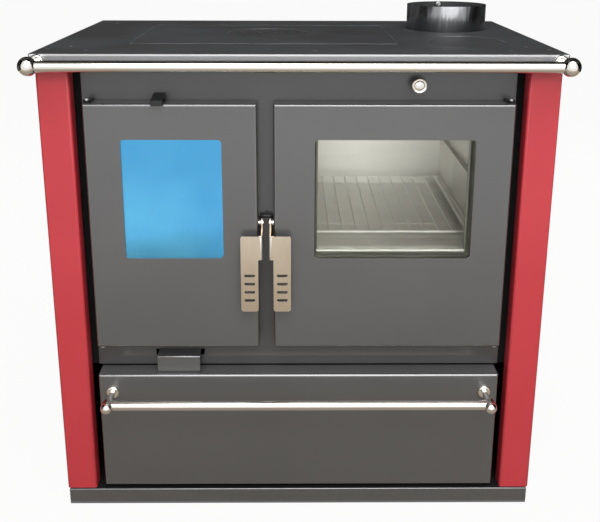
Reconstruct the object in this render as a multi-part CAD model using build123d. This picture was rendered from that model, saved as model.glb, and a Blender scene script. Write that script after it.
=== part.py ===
# Wood-burning cook stove: a steel body with a firebox on the left and an oven
# on the right, a plate cooktop with lids and a flue collar, and a wood drawer.
# Millimetres, +Z up, +Y towards the back, the front of the stove faces -Y.
# The origin is on the floor under the middle of the stove's bounding box.
# Places along the depth are counted backwards from the face of the side panels.
import os
from math import cos, pi, sin, sqrt

from build123d import *

# Cooktop
hob_width = 800
hob_depth = 549
hob_thickness = 9
hob_top = 776
hob_overhang = 16.5
hob_side_overhang = 3.5
hob_rear_overhang = 34.5
hob_corner_radius = 3

# Outer body
cladding_sheet = 2
column_width = 50
column_return = 28
column_rear_fold = 32
bend_radius = 4
plinth_height = 28.7
plinth_rail = 25
plinth_sheet = 2
plinth_inset = 2
base_sheet = 2.3

# Rim under the cooktop
skirt_height = 16
skirt_sheet = 3
skirt_inset = 0.2
skirt_proud = 1
rim_lap = 17

# Inner body
body_sheet = 3
body_inset = 26.5
front_setback = 38
rear_air_gap = 18
fascia_side_gap = 9.2
fascia_gap = 1.5
shelf_rise = 4.5
rear_panel_sheet = 2

# Doors
door_sheet = 2.5
door_depth = 36
door_rise = 44
door_drop = 65
door_margin = 7
door_gap = 25
firebox_door_width = 265.3
door_corner_radius = 1.5

# Windows
window_rise = 155
window_drop = 55.5
window_radius = 6
firebox_window_left_inset = 55.3
firebox_window_right_inset = 55
oven_window_left_inset = 64
oven_window_right_inset = 58.3
glass_thickness = 4
glass_overlap = 12
clip_width = 16
clip_reach = 8
clip_sheet = 2.5

# Door lining and seal
liner_setback = 31
liner_sheet = 2
liner_window_margin = 4
seal_width = 7
seal_inset = 3

# Hinges
hinge_inset = 5.5
hinge_setback = 15
hinge_pin_radius = 2.5
hinge_eye_radius = 6
hinge_leaf = 3
hinge_head_radius = 4
hinge_head = 2.5
hinge_pin_bite = 10

# Fits
fit = 0.3
slip = 0.5
overrun = 5

# Door handles, each bent from one sheet
handle_sheet = 2.5
handle_standoff = 17.5
handle_width = 27.5
handle_rise = 72
handle_length = 126
handle_corner_radius = 4
handle_slot_length = 17
handle_slot_height = 4.5
handle_slot_pitch = 13.9
handle_slot_count = 4
handle_slot_start = 19
handle_flange_height = 39
handle_flange_gap = 4.5
handle_bend_radius = 3.5
pivot_rise = 11
pivot_setback = 18
pivot_radius = 2.5
pivot_eye_radius = 7.5
pivot_bush_radius = 4.5
pivot_head_radius = 4
pivot_head = 2
tail_length = 9
tail_height = 8

# Keeper between the doors
keeper_radius = 3
keeper_web = 3
keeper_gap = 0.5
keeper_overhang = 1.5

# Wood drawer
drawer_gap = 5.3
drawer_height = 209.7
drawer_side_margin = 5.3
drawer_box_margin = 12
drawer_box_height = 150
drawer_box_sheet = 1.5
drawer_rear_gap = 25
runner_sheet = 2.5
runner_ledge = 18
runner_fit = 1

# Rails
rail_radius = 8
top_rail_reach = 70
top_rail_drop = 11
top_rail_inset = 13.8
top_ball_radius = 14
drawer_rail_reach = 48
drawer_rail_drop = 30.5
drawer_rail_inset = 23
drawer_ball_radius = 9.8
drawer_ball_setout = 8
rail_socket_radius = 8.5
post_radius = 5
rosette_radius = 11
rosette_thickness = 6
rosette_round = 3.5

# Oven
oven_gap = 15
oven_side_margin = 37.3
oven_rise = 200
oven_drop = 31
oven_rear_gap = 28
oven_sheet = 2
oven_lip = 3
oven_runner_size = 8
oven_runner_levels_share = (0.08, 0.5)
rack_wire = 2.5
rack_frame_wire = 3
rack_wire_count = 13
rack_front = 75
rack_rear_gap = 22

# Firebox
firebox_side_gap = 40
firebox_margin = 38
firebox_plate = 4
partition_drop = 74
ash_floor_rise = 54
grate_rise = 123
grate_thickness = 14
grate_plate = 4
grate_rim = 16
grate_width = 200
grate_front = 84
grate_rear_gap = 96
grate_bar_count = 9
grate_slot_share = 0.5
grate_cross_bar = 14
brick_thickness = 28
brick_joint = 1
brick_courses = 3
brick_columns = 3
brick_front = 62
fuel_side_margin = 32.3
fuel_drop = 34
ash_side_margin = 45.3
mouth_latch_margin = 32
ash_mouth_height = 67
air_port_length = 40
air_port_width = 80

# Ash pan
pan_sheet = 1.5
pan_margin = 4
pan_height = 60
pan_front = 75
pan_rear_gap = 80
pan_grip = 15
pan_grip_height = 12

# Primary air control under the firebox door
air_slot_margin = 90.3
air_slot_width = 81.5
air_slot_rise = 12
air_slot_height = 11.5
air_tab_width = 70.5
air_tab_sheet = 2.5
air_tab_reach = 28
air_tab_length = 28.2
air_tab_corner_radius = 4
air_stop_setback = 76
air_stop_overlap = 5

# Secondary air control on top of the firebox door
air_shutter_width = 50
air_shutter_length = 18
air_shutter_sheet = 1.5
air_stem_width = 8
air_stem_length = 3
air_lever_width = 18
air_lever_offset = 114
air_lever_sheet = 2.5
air_lever_rise = 11
air_lever_fall = 5
air_lever_reach = 6
air_lever_lip = 6
air_lever_foot = 6
air_lever_travel = 20

# Damper
damper_inset = 154.3
damper_drop = 50.8
damper_rod_radius = 3
knob_radius = 11.7
knob_thickness = 6
knob_dome_radius = 8.5
knob_shank_radius = 5
knob_setback = 12
baffle_left_margin = 33
baffle_length = 200
baffle_drop = 62
baffle_sheet = 3
baffle_port_width = 100
baffle_port_length = 110
baffle_port_rear_gap = 40
damper_lap = 6
damper_sheet = 2

# Lids
insert_left_inset = 125
insert_right_inset = 239
insert_front = 120
insert_rear_inset = 98.5
insert_radius = 6
insert_gap = 0.8
insert_ledge = 12
insert_ledge_thickness = 4
ring_lid_across_share = 0.504
ring_lid_back_share = 0.5605
ring_lid_radius = 70
access_lid_front = 69.3
access_lid_rear_gap = 64.4
access_lid_half_width = 61.4
lid_step = 7
lid_gap = 1
lid_groove_width = 3
lid_groove_depth = 1.2
lid_groove_shares = (0.3, 0.55, 0.8)
lid_socket_length = 20
lid_socket_width = 7
lid_socket_depth = 3

# Flue collar
collar_side_inset = 121
collar_rear_inset = 155.5
collar_radius = 73.3
collar_neck = 1
collar_gap = 0.7
collar_sheet = 2.5
collar_height = 45.5
collar_flange = 5
collar_screw_radius = 3
collar_screw_drop = 4.5
collar_screw_length = 10
collar_screw_angle = 3.6

# Screws
hob_screw_middle_x = 23.5
hob_screw_front_inset = 46.5
hob_screw_row_inset = 75
hob_screw_corner_inset = 14
hob_screw_corner_setback = 62.5
hob_screw_side_inset = 41
hob_screw_side_setback = 99.5
hob_screw_rear_inset = 63.5
screw_radius = 2
screw_head_radius = 3.5
screw_head = 2
screw_length = 14
rear_screw_length = 6
rear_screw_rows = 4

# Louvres in the rear panel
louvre_length = 120
louvre_height = 6
louvre_pitch = 22
louvre_rows = 6
louvre_drop = 244

# Widths worked out from the sizes above
hob_half = hob_width / 2
cladding_half = hob_half - hob_side_overhang
body_half = cladding_half - body_inset
fascia_half = cladding_half - column_width - fascia_side_gap
firebox_door_left = -fascia_half + door_margin
firebox_door_right = firebox_door_left + firebox_door_width
oven_door_left = firebox_door_right + door_gap
oven_door_right = fascia_half - door_margin
doors_middle = (firebox_door_right + oven_door_left) / 2
left_flange_face = firebox_door_right + handle_flange_gap + handle_sheet
right_flange_face = oven_door_left - handle_flange_gap - handle_sheet
firebox_window = (firebox_door_left + firebox_window_left_inset,
                  firebox_door_right - firebox_window_right_inset)
oven_window = (oven_door_left + oven_window_left_inset, oven_door_right - oven_window_right_inset)
firebox_left = -body_half + firebox_side_gap
firebox_right = firebox_door_right + firebox_margin
fuel_left = firebox_door_left + fuel_side_margin
fuel_right = firebox_door_right - mouth_latch_margin
ash_left = firebox_door_left + ash_side_margin
ash_right = firebox_door_right - mouth_latch_margin
air_slot_left = firebox_door_left + air_slot_margin
air_slot_right = air_slot_left + air_slot_width
oven_left = firebox_right + firebox_plate + oven_gap
oven_right = oven_door_right - oven_side_margin
drawer_half = fascia_half - drawer_side_margin
drawer_box_half = drawer_half - drawer_box_margin
runner_half = drawer_box_half + runner_fit
top_rail_half_span = hob_half - top_rail_inset
drawer_rail_half_span = drawer_half - drawer_rail_inset
damper_x = fascia_half - damper_inset
baffle_left = damper_x - baffle_left_margin
insert_left = -hob_half + insert_left_inset
insert_right = hob_half - insert_right_inset
ring_lid_x = insert_left + (insert_right - insert_left) * ring_lid_across_share
collar_x = hob_half - collar_side_inset

# Depths worked out from the sizes above
top_ball_front = top_rail_reach + top_ball_radius
face_y = (top_ball_front - (hob_depth - hob_overhang)) / 2
hob_front = -hob_overhang
hob_rear = hob_depth - hob_overhang
cladding_depth = hob_rear - hob_rear_overhang
body_rear = cladding_depth - rear_air_gap
body_front = front_setback + body_sheet
body_inner_front = body_front + body_sheet
skirt_front = hob_front - skirt_proud
oven_rear = body_rear - oven_rear_gap
rack_rear = oven_rear - rack_rear_gap
brick_rear = body_rear - brick_thickness
grate_length = body_rear - grate_rear_gap - grate_front
pan_rear = body_rear - pan_rear_gap
drawer_box_rear = body_rear - drawer_rear_gap
baffle_front = body_rear - baffle_length
baffle_port_front = body_rear - baffle_port_rear_gap - baffle_port_length
insert_rear = hob_rear - insert_rear_inset
ring_lid_setback = insert_front + (insert_rear - insert_front) * ring_lid_back_share
collar_setback = hob_rear - collar_rear_inset
access_lid_rear = collar_setback - collar_radius - access_lid_rear_gap
access_lid_half_length = (access_lid_rear - access_lid_front) / 2
access_lid_setback = (access_lid_front + access_lid_rear) / 2

# Heights worked out from the sizes above
base_top = plinth_height + base_sheet
drawer_bottom = base_top + drawer_gap
drawer_top = drawer_bottom + drawer_height
drawer_box_bottom = drawer_bottom + door_sheet + bend_radius
drawer_rail_height = drawer_top - drawer_rail_drop
fascia_bottom = drawer_top + fascia_gap
shelf_bottom = fascia_bottom + shelf_rise
door_bottom = shelf_bottom + door_rise
air_slot_bottom = shelf_bottom + air_slot_rise
air_slot_top = air_slot_bottom + air_slot_height
ash_floor_bottom = shelf_bottom + ash_floor_rise
ash_bottom = ash_floor_bottom + body_sheet
ash_top = ash_bottom + ash_mouth_height
ash_pan_bottom = ash_bottom + fit
grate_top = ash_bottom + grate_rise
grate_bottom = grate_top - grate_thickness
grate_plate_bottom = grate_bottom - grate_plate
window_bottom = door_bottom + window_rise
handle_bottom = door_bottom + handle_rise
handle_top = handle_bottom + handle_length
pivot_height = handle_top + pivot_rise
hob_bottom = hob_top - hob_thickness
flange_bottom = hob_bottom - skirt_sheet
collar_top = hob_top + collar_height
top_rail_height = hob_top - top_rail_drop
damper_z = hob_top - damper_drop
door_top = flange_bottom - door_drop
window_top = door_top - window_drop
fuel_top = door_top - fuel_drop
partition_top = flange_bottom - partition_drop
brick_height = (partition_top - grate_bottom) / brick_courses
baffle_height = flange_bottom - baffle_drop
oven_floor = shelf_bottom + oven_rise
oven_top = door_top - oven_drop
louvre_start = flange_bottom - louvre_drop


def block(x0, x1, d0, d1, z0, z1):
    """A rectangular block between two corners, d being the depth behind the face."""
    middle = Pos((x0 + x1) / 2, face_y + (d0 + d1) / 2, (z0 + z1) / 2)
    return middle * Box(x1 - x0, d1 - d0, z1 - z0)


def rod_x(x0, x1, d, z, radius):
    """A round bar along X."""
    return Pos((x0 + x1) / 2, face_y + d, z) * Rot(0, 90, 0) * Cylinder(radius, x1 - x0)


def rod_y(x, d0, d1, z, radius):
    """A round bar along Y."""
    return Pos(x, face_y + (d0 + d1) / 2, z) * Rot(90, 0, 0) * Cylinder(radius, d1 - d0)


def rod_z(x, d, z0, z1, radius):
    """A round bar along Z."""
    return Pos(x, face_y + d, (z0 + z1) / 2) * Cylinder(radius, z1 - z0)


def oval_z(x, d, z0, z1, half_width, half_length):
    """An upright oval bar."""
    return Pos(x, face_y + d, z0) * extrude(Ellipse(half_width, half_length), z1 - z0)


def rounded(shape, axis, radius):
    """The shape with the edges that run along the axis rounded."""
    return fillet(shape.edges().filter_by(axis), radius)


def front_rounded(shape, radius):
    """The shape with the four edges round its front face rounded."""
    return fillet(shape.faces().sort_by(Axis.Y)[0].edges(), radius)


def mirrored(shape):
    """The same piece on the other side of the stove."""
    return mirror(shape, about=Plane.YZ)


def ring(outer, inner):
    """A frame between two blocks."""
    return outer - inner


def pan(x0, x1, z0, z1):
    """A shallow pan bent from door sheet, open at the back."""
    outer = rounded(block(x0, x1, 0, door_depth, z0, z1), Axis.Y, door_corner_radius)
    outer = front_rounded(outer, bend_radius)
    inside = block(x0 + door_sheet, x1 - door_sheet, door_sheet, door_depth + overrun,
                   z0 + door_sheet, z1 - door_sheet)
    return outer - front_rounded(inside, bend_radius - door_sheet)


def welded_box(x0, x1, d0, d1, z0, z1, sheet):
    """An open box of five flat sheets, welded where they meet."""
    floor = block(x0, x1, d0, d1, z0, z0 + sheet)
    sides = [block(x, x + sheet, d0, d1, z0 + sheet, z1) for x in (x0, x1 - sheet)]
    ends = [block(x0 + sheet, x1 - sheet, d, d + sheet, z0 + sheet, z1) for d in (d0, d1 - sheet)]
    return [floor] + sides + ends


def countersunk(x, d, clearance):
    """A countersunk screw into the rim, or the room that it needs."""
    radius = screw_radius + clearance
    head_radius = screw_head_radius + clearance
    shank = rod_z(x, d, hob_top - screw_length, hob_top - screw_head, radius)
    head = Pos(x, face_y + d, hob_top - screw_head / 2) * Cone(radius, head_radius, screw_head)
    return shank + head


# Base and cladding
def plinth():
    half = cladding_half - plinth_inset
    body = block(-half, half, 0, cladding_depth, 0, plinth_height)
    opening = block(-half + plinth_rail, half - plinth_rail, plinth_rail,
                    cladding_depth - plinth_rail, -overrun, plinth_height + overrun)
    hollow = block(-half + plinth_sheet, half - plinth_sheet, plinth_sheet,
                   cladding_depth - plinth_sheet, -overrun, plinth_height - plinth_sheet)
    return body - opening - hollow


def base_plate():
    half = cladding_half - plinth_inset - plinth_sheet
    return block(-half, half, plinth_sheet, cladding_depth - plinth_sheet,
                 plinth_height, base_top)


def left_side_panel():
    left = -cladding_half
    right = left + column_width
    outer = block(left, right, 0, cladding_depth, base_top, flange_bottom)
    outer = fillet(outer.faces().sort_by(Axis.Y)[0].edges().filter_by(Axis.Z), bend_radius)
    inside = block(left + cladding_sheet, right - cladding_sheet, cladding_sheet,
                   cladding_depth - cladding_sheet, base_top - overrun, flange_bottom + overrun)
    inside = fillet(inside.faces().sort_by(Axis.Y)[0].edges().filter_by(Axis.Z),
                    bend_radius - cladding_sheet)
    open_side = block(right - cladding_sheet - overrun, right + overrun, column_return,
                      cladding_depth - cladding_sheet, base_top - overrun,
                      flange_bottom + overrun)
    open_rear = block(left + column_rear_fold, right + overrun, column_return,
                      cladding_depth + overrun, base_top - overrun, flange_bottom + overrun)
    panel = outer - inside - open_side - open_rear
    for x, level in rear_screw_places():
        panel -= rod_y(x, cladding_depth - rear_screw_length, cladding_depth + overrun, level,
                       screw_radius)
    return panel


def rear_screw_places():
    x = cladding_half - column_rear_fold / 2
    height = flange_bottom - base_top
    levels = [base_top + height * (row + 1 / 2) / rear_screw_rows for row in range(rear_screw_rows)]
    return [(side * x, level) for side in (-1, 1) for level in levels]


def rear_panel():
    half = cladding_half - cladding_sheet
    rear = cladding_depth + rear_panel_sheet
    panel = block(-half, half, cladding_depth, rear, base_top, flange_bottom)
    for side in (-1, 1):
        middle = side * half / 2
        for row in range(louvre_rows):
            level = louvre_start + row * louvre_pitch
            slot = block(middle - louvre_length / 2, middle + louvre_length / 2,
                         cladding_depth - overrun, rear + overrun, level,
                         level + louvre_height)
            panel -= slot
    for x, level in rear_screw_places():
        panel -= rod_y(x, cladding_depth - overrun, rear + overrun, level, screw_radius)
    return panel


def rear_panel_screws():
    rear = cladding_depth + rear_panel_sheet
    return [rod_y(x, rear, rear + screw_head, level, screw_head_radius)
            + rod_y(x, rear + screw_head - rear_screw_length, rear + screw_head, level, screw_radius)
            for x, level in rear_screw_places()]


# Cooktop rim
def collar_room():
    return rod_z(collar_x, collar_setback, hob_bottom - hob_thickness - overrun,
                 hob_top + overrun, collar_radius + collar_flange + slip)


def screw_places():
    places = [(hob_screw_middle_x, hob_front + hob_screw_front_inset)]
    for side in (-1, 1):
        row_x = side * (hob_half - hob_screw_row_inset)
        corner_x = side * (hob_half - hob_screw_corner_inset)
        side_x = side * (hob_half - hob_screw_side_inset)
        places.append((row_x, hob_front + hob_screw_front_inset))
        places.append((corner_x, hob_front + hob_screw_corner_setback))
        places.append((side_x, hob_front + hob_screw_side_setback))
        places.append((side_x, hob_rear - hob_screw_rear_inset))
    return places


def hob_rim_frame():
    half = hob_half - skirt_inset
    rear = hob_rear - skirt_inset
    body = block(-half, half, skirt_front, rear, hob_bottom - skirt_height, hob_bottom)
    hollow = block(-half + skirt_sheet, half - skirt_sheet, skirt_front + skirt_sheet,
                   rear - skirt_sheet, hob_bottom - skirt_height - overrun, flange_bottom)
    inner_half = body_half - body_sheet - rim_lap
    opening = block(-inner_half, inner_half, body_inner_front + rim_lap, body_rear - rim_lap,
                    flange_bottom - overrun, hob_bottom + overrun)
    frame = body - hollow - opening - collar_room()
    for x, d in screw_places():
        frame -= rod_z(x, d, flange_bottom - overrun, hob_bottom + overrun, screw_radius)
    return frame


def insert_opening():
    opening = block(insert_left, insert_right, insert_front, insert_rear,
                    hob_bottom - overrun, hob_top + overrun)
    return rounded(opening, Axis.Z, insert_radius)


def step_bottom():
    return hob_top - hob_thickness / 2


def access_hole():
    upper = oval_z(collar_x, access_lid_setback, step_bottom(), hob_top + overrun,
                   access_lid_half_width + lid_gap, access_lid_half_length + lid_gap)
    lower = oval_z(collar_x, access_lid_setback, hob_bottom - overrun, hob_top,
                   access_lid_half_width - lid_step + lid_gap,
                   access_lid_half_length - lid_step + lid_gap)
    return upper + lower


def hob_plate():
    plate = block(-hob_half, hob_half, hob_front, hob_rear, hob_bottom, hob_top)
    plate = rounded(plate, Axis.Z, hob_corner_radius)
    plate = plate - insert_opening() - access_hole()
    plate -= rod_z(collar_x, collar_setback, hob_bottom - overrun, hob_top + overrun,
                   collar_radius + collar_gap)
    for x, d in screw_places():
        plate -= countersunk(x, d, 0)
    return plate


def hob_screws():
    return [countersunk(x, d, 0) for x, d in screw_places()]


def insert_support():
    outer = block(insert_left - insert_ledge, insert_right + insert_ledge,
                  insert_front - insert_ledge, insert_rear + insert_ledge,
                  hob_bottom - insert_ledge_thickness, hob_bottom)
    inner = block(insert_left + insert_ledge, insert_right - insert_ledge,
                  insert_front + insert_ledge, insert_rear - insert_ledge,
                  hob_bottom - insert_ledge_thickness - overrun, hob_bottom + overrun)
    return outer - inner


def ring_hole():
    upper = rod_z(ring_lid_x, ring_lid_setback, step_bottom(), hob_top + overrun,
                  ring_lid_radius + lid_gap)
    lower = rod_z(ring_lid_x, ring_lid_setback, hob_bottom - overrun, hob_top,
                  ring_lid_radius - lid_step + lid_gap)
    return upper + lower


def hob_insert():
    plate = block(insert_left + insert_gap, insert_right - insert_gap,
                  insert_front + insert_gap, insert_rear - insert_gap,
                  hob_bottom + fit, hob_top)
    return rounded(plate, Axis.Z, insert_radius - insert_gap) - ring_hole()


def lifter_socket(x, d):
    """The slot that takes the lid lifter."""
    half = lid_socket_width / 2
    reach = lid_socket_length / 2 - half
    slot = block(x - reach, x + reach, d - half, d + half,
                 hob_top - lid_socket_depth, hob_top + overrun)
    for side in (-1, 1):
        slot += rod_z(x + side * reach, d, hob_top - lid_socket_depth, hob_top + overrun, half)
    return slot


def ring_lid():
    lid = rod_z(ring_lid_x, ring_lid_setback, step_bottom() + fit, hob_top, ring_lid_radius)
    lid += rod_z(ring_lid_x, ring_lid_setback, hob_bottom, hob_top, ring_lid_radius - lid_step)
    for share in lid_groove_shares:
        radius = ring_lid_radius * share
        lid -= (rod_z(ring_lid_x, ring_lid_setback, hob_top - lid_groove_depth,
                      hob_top + overrun, radius)
                - rod_z(ring_lid_x, ring_lid_setback, hob_bottom, hob_top + overrun * 2,
                        radius - lid_groove_width))
    return lid - lifter_socket(ring_lid_x, ring_lid_setback)


def access_lid():
    lid = oval_z(collar_x, access_lid_setback, step_bottom() + fit, hob_top,
                 access_lid_half_width, access_lid_half_length)
    lid += oval_z(collar_x, access_lid_setback, hob_bottom, hob_top,
                  access_lid_half_width - lid_step, access_lid_half_length - lid_step)
    return lid - lifter_socket(collar_x, access_lid_setback)


# Flue collar
def collar_screw_direction():
    angle = pi / 2 + collar_screw_angle * pi / 180
    return cos(angle), sin(angle)


def collar_screw_bar(inner, outer, radius):
    """A short bar that points out of the back of the collar."""
    across, back = collar_screw_direction()
    middle = (inner + outer) / 2
    place = Pos(collar_x + across * middle, face_y + collar_setback + back * middle,
                collar_top - collar_screw_drop)
    return place * Rot(0, 0, collar_screw_angle) * Rot(90, 0, 0) * Cylinder(radius, outer - inner)


def flue_collar():
    tube = rod_z(collar_x, collar_setback, hob_top, collar_top, collar_radius)
    tube += rod_z(collar_x, collar_setback, flange_bottom, hob_top, collar_radius - collar_neck)
    tube += rod_z(collar_x, collar_setback, flange_bottom, hob_bottom, collar_radius + collar_flange)
    tube -= rod_z(collar_x, collar_setback, flange_bottom - overrun, collar_top + overrun,
                  collar_radius - collar_sheet)
    return tube - collar_screw_bar(0, collar_radius + overrun, collar_screw_radius)


def collar_screw():
    """A stud with its nut inside the collar, flush outside so that a flue pipe slips over it."""
    wall = collar_radius - collar_sheet
    stud = collar_screw_bar(wall - collar_screw_length, collar_radius - fit, collar_screw_radius)
    nut = collar_screw_bar(wall - fit - screw_head, wall - fit, collar_screw_radius * 3 / 2)
    return stud + nut


# Inner body
def oven_mouth(d0, d1):
    """The room that the oven box takes in the front sheets."""
    reach = oven_sheet
    return block(oven_left - reach, oven_right + reach, d0, d1,
                 oven_floor - reach, oven_top + reach)


def body_openings():
    fuel = block(fuel_left, fuel_right, front_setback - overrun, body_inner_front + overrun,
                 grate_top, fuel_top)
    ash = block(ash_left, ash_right, front_setback - overrun, body_inner_front + overrun,
                ash_bottom, ash_top)
    air = block(air_slot_left, air_slot_right, front_setback - overrun,
                body_inner_front + overrun, air_slot_bottom, air_slot_top)
    rod = rod_y(damper_x, front_setback - overrun, body_inner_front + overrun, damper_z,
                damper_rod_radius + slip)
    mouth = oven_mouth(front_setback - overrun, body_inner_front + overrun)
    return fuel + ash + air + rod + mouth


def front_panel():
    panel = block(-fascia_half, fascia_half, front_setback, body_front, fascia_bottom,
                  flange_bottom)
    return panel - body_openings()


def inner_front_wall():
    wall = block(-body_half, body_half, body_front, body_inner_front, fascia_bottom, flange_bottom)
    return wall - body_openings()


def inner_left_wall():
    return block(-body_half, -body_half + body_sheet, body_inner_front, body_rear, base_top,
                 flange_bottom)


def inner_rear_wall():
    return block(-body_half, body_half, body_rear, body_rear + body_sheet, base_top, flange_bottom)


def middle_shelf():
    half = body_half - body_sheet
    return block(-half, half, body_inner_front, body_rear, shelf_bottom, shelf_bottom + body_sheet)


def firebox_side_walls():
    z0 = shelf_bottom + body_sheet
    left = block(firebox_left - firebox_plate, firebox_left, body_inner_front, body_rear, z0,
                 partition_top)
    right = block(firebox_right, firebox_right + firebox_plate, body_inner_front, body_rear, z0,
                  partition_top)
    return [left, right]


def ash_floor():
    floor = block(firebox_left, firebox_right, body_inner_front, body_rear, ash_floor_bottom,
                  ash_bottom)
    middle = (air_slot_left + air_slot_right) / 2
    port = block(middle - air_port_width / 2, middle + air_port_width / 2,
                 pan_rear + pan_margin, pan_rear + pan_margin + air_port_length,
                 ash_floor_bottom - overrun, ash_bottom + overrun)
    return floor - port


def grate_middle():
    return (firebox_left + firebox_right) / 2


def grate_support():
    plate = block(firebox_left, firebox_right, body_inner_front, body_rear, grate_plate_bottom,
                  grate_bottom)
    opening = block(grate_middle() - grate_width / 2 + grate_rim,
                    grate_middle() + grate_width / 2 - grate_rim,
                    grate_front + grate_rim, grate_front + grate_length - grate_rim,
                    grate_plate_bottom - overrun, grate_bottom + overrun)
    return plate - opening


def firebox_grate():
    left = grate_middle() - grate_width / 2
    grate = block(left, left + grate_width, grate_front, grate_front + grate_length,
                  grate_bottom, grate_top)
    pitch = (grate_width - grate_rim * 2) / grate_bar_count
    span = (grate_length - grate_rim * 2 - grate_cross_bar) / 2
    for bar in range(grate_bar_count):
        x = left + grate_rim + pitch * (bar + (1 - grate_slot_share) / 2)
        for half in range(2):
            d = grate_front + grate_rim + half * (span + grate_cross_bar)
            grate -= block(x, x + pitch * grate_slot_share, d, d + span,
                           grate_bottom - overrun, grate_top + overrun)
    return grate


def brick_course_levels():
    return [grate_bottom + course * brick_height for course in range(brick_courses)]


def side_firebricks():
    length = (brick_rear - brick_front) / brick_columns
    bricks = []
    for x0 in (firebox_left, firebox_right - brick_thickness):
        for level in brick_course_levels():
            for column in range(brick_columns):
                d0 = brick_front + column * length
                bricks.append(block(x0, x0 + brick_thickness, d0, d0 + length - brick_joint,
                                    level, level + brick_height - brick_joint))
    return bricks


def rear_firebricks():
    left = firebox_left + brick_thickness
    width = (firebox_right - brick_thickness - left) / 2
    bricks = []
    for level in brick_course_levels():
        for column in range(2):
            x0 = left + column * width
            bricks.append(block(x0, x0 + width - brick_joint, brick_rear, body_rear,
                                level, level + brick_height - brick_joint))
    return bricks


def oven_box():
    front = front_setback - oven_lip
    outer = block(oven_left - oven_sheet, oven_right + oven_sheet, front, oven_rear + oven_sheet,
                  oven_floor - oven_sheet, oven_top + oven_sheet)
    inside = block(oven_left, oven_right, front - overrun, oven_rear, oven_floor, oven_top)
    return outer - inside


def runner_levels():
    height = oven_top - oven_floor
    return [oven_floor + height * share for share in oven_runner_levels_share]


def oven_runners():
    bars = []
    for x0 in (oven_left, oven_right - oven_runner_size):
        for level in runner_levels():
            bars.append(block(x0, x0 + oven_runner_size, rack_front, rack_rear,
                              level - oven_runner_size / 2, level))
    return bars


def oven_rack():
    level = runner_levels()[0] + fit
    left = oven_left + slip * 2
    right = oven_right - slip * 2
    z = level + rack_frame_wire / 2
    rack = block(left, left + rack_frame_wire, rack_front, rack_rear, level, level + rack_frame_wire)
    rack += block(right - rack_frame_wire, right, rack_front, rack_rear, level,
                  level + rack_frame_wire)
    for d in (rack_front, rack_rear - rack_frame_wire):
        rack += block(left, right, d, d + rack_frame_wire, level, level + rack_frame_wire)
    pitch = (right - left) / rack_wire_count
    for wire in range(rack_wire_count):
        rack += rod_y(left + pitch / 2 + pitch * wire, rack_front + rack_frame_wire / 2,
                      rack_rear - rack_frame_wire / 2, z, rack_wire / 2)
    return rack


def smoke_baffle():
    plate = block(baffle_left, body_half - body_sheet, baffle_front, body_rear, baffle_height,
                  baffle_height + baffle_sheet)
    port = block(baffle_left + damper_lap * 2, baffle_left + damper_lap * 2 + baffle_port_width,
                 baffle_port_front, baffle_port_front + baffle_port_length,
                 baffle_height - overrun, baffle_height + baffle_sheet + overrun)
    return plate - port


# Damper
def damper_knob():
    front = knob_setback
    disc = rod_y(damper_x, front, front + knob_thickness, damper_z, knob_radius)
    disc = fillet(disc.edges().group_by(Axis.Y)[0], knob_thickness / 4)
    dome = Pos(damper_x, face_y + front, damper_z) * Sphere(knob_dome_radius)
    dome &= block(damper_x - knob_radius, damper_x + knob_radius, front - knob_thickness / 2, front,
                  damper_z - knob_radius, damper_z + knob_radius)
    shank = rod_y(damper_x, front + knob_thickness, front_setback - fit * 2, damper_z,
                  knob_shank_radius)
    return disc + dome + shank


def damper_plate():
    top = baffle_height + baffle_sheet + fit
    left = baffle_left + damper_lap
    plate = block(left, left + baffle_port_width + damper_lap * 2,
                  baffle_port_front - damper_lap, baffle_port_front + baffle_port_length + damper_lap,
                  top, top + damper_sheet)
    lug_front = baffle_port_front
    lug = block(damper_x - damper_rod_radius * 2, damper_x + damper_rod_radius * 2,
                lug_front, lug_front + damper_sheet, top, damper_z + damper_rod_radius * 2)
    rod = rod_y(damper_x, front_setback - fit * 2, lug_front + damper_sheet, damper_z,
                damper_rod_radius)
    return plate + lug + rod


# Primary air control
def primary_air_tab():
    middle = (air_slot_left + air_slot_right) / 2
    left = middle - air_tab_width / 2
    right = middle + air_tab_width / 2
    front = front_setback - air_tab_reach
    top = air_slot_top - fit
    strip = block(left, right, front, air_stop_setback, top - air_tab_sheet, top)
    face = block(left, right, front, front + air_tab_sheet, top - air_tab_length, top)
    tab = strip + face
    corner = tab.edges().filter_by(Axis.X).group_by(Axis.Y)[0].sort_by(Axis.Z)[-1]
    tab = fillet(corner, air_tab_sheet)
    low = tab.edges().filter_by(Axis.Y).group_by(Axis.Z)[0]
    tab = fillet(low, air_tab_corner_radius)
    stop = block(air_slot_left - air_stop_overlap, air_slot_right + air_stop_overlap,
                 air_stop_setback, air_stop_setback + air_tab_sheet,
                 shelf_bottom + body_sheet + fit, air_slot_top + air_stop_overlap)
    return tab + stop


# Hinges and keeper
def hinge_axes():
    return [firebox_door_left + hinge_inset, oven_door_right - hinge_inset]


def hinge_leaves(x):
    """The leaves above and below one door, each with the level of its outer face."""
    upper = door_top + slip
    lower = door_bottom - slip - hinge_leaf
    return [(x, upper, 1), (x, lower, -1)]


def hinge_brackets():
    brackets = []
    for x in hinge_axes():
        for place, level, _ in hinge_leaves(x):
            leaf = rod_z(place, hinge_setback, level, level + hinge_leaf, hinge_eye_radius)
            leaf += block(place - hinge_eye_radius, place + hinge_eye_radius, hinge_setback,
                          front_setback, level, level + hinge_leaf)
            leaf -= rod_z(place, hinge_setback, level - overrun, level + hinge_leaf + overrun,
                          hinge_pin_radius)
            brackets.append(leaf)
    return brackets


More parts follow.
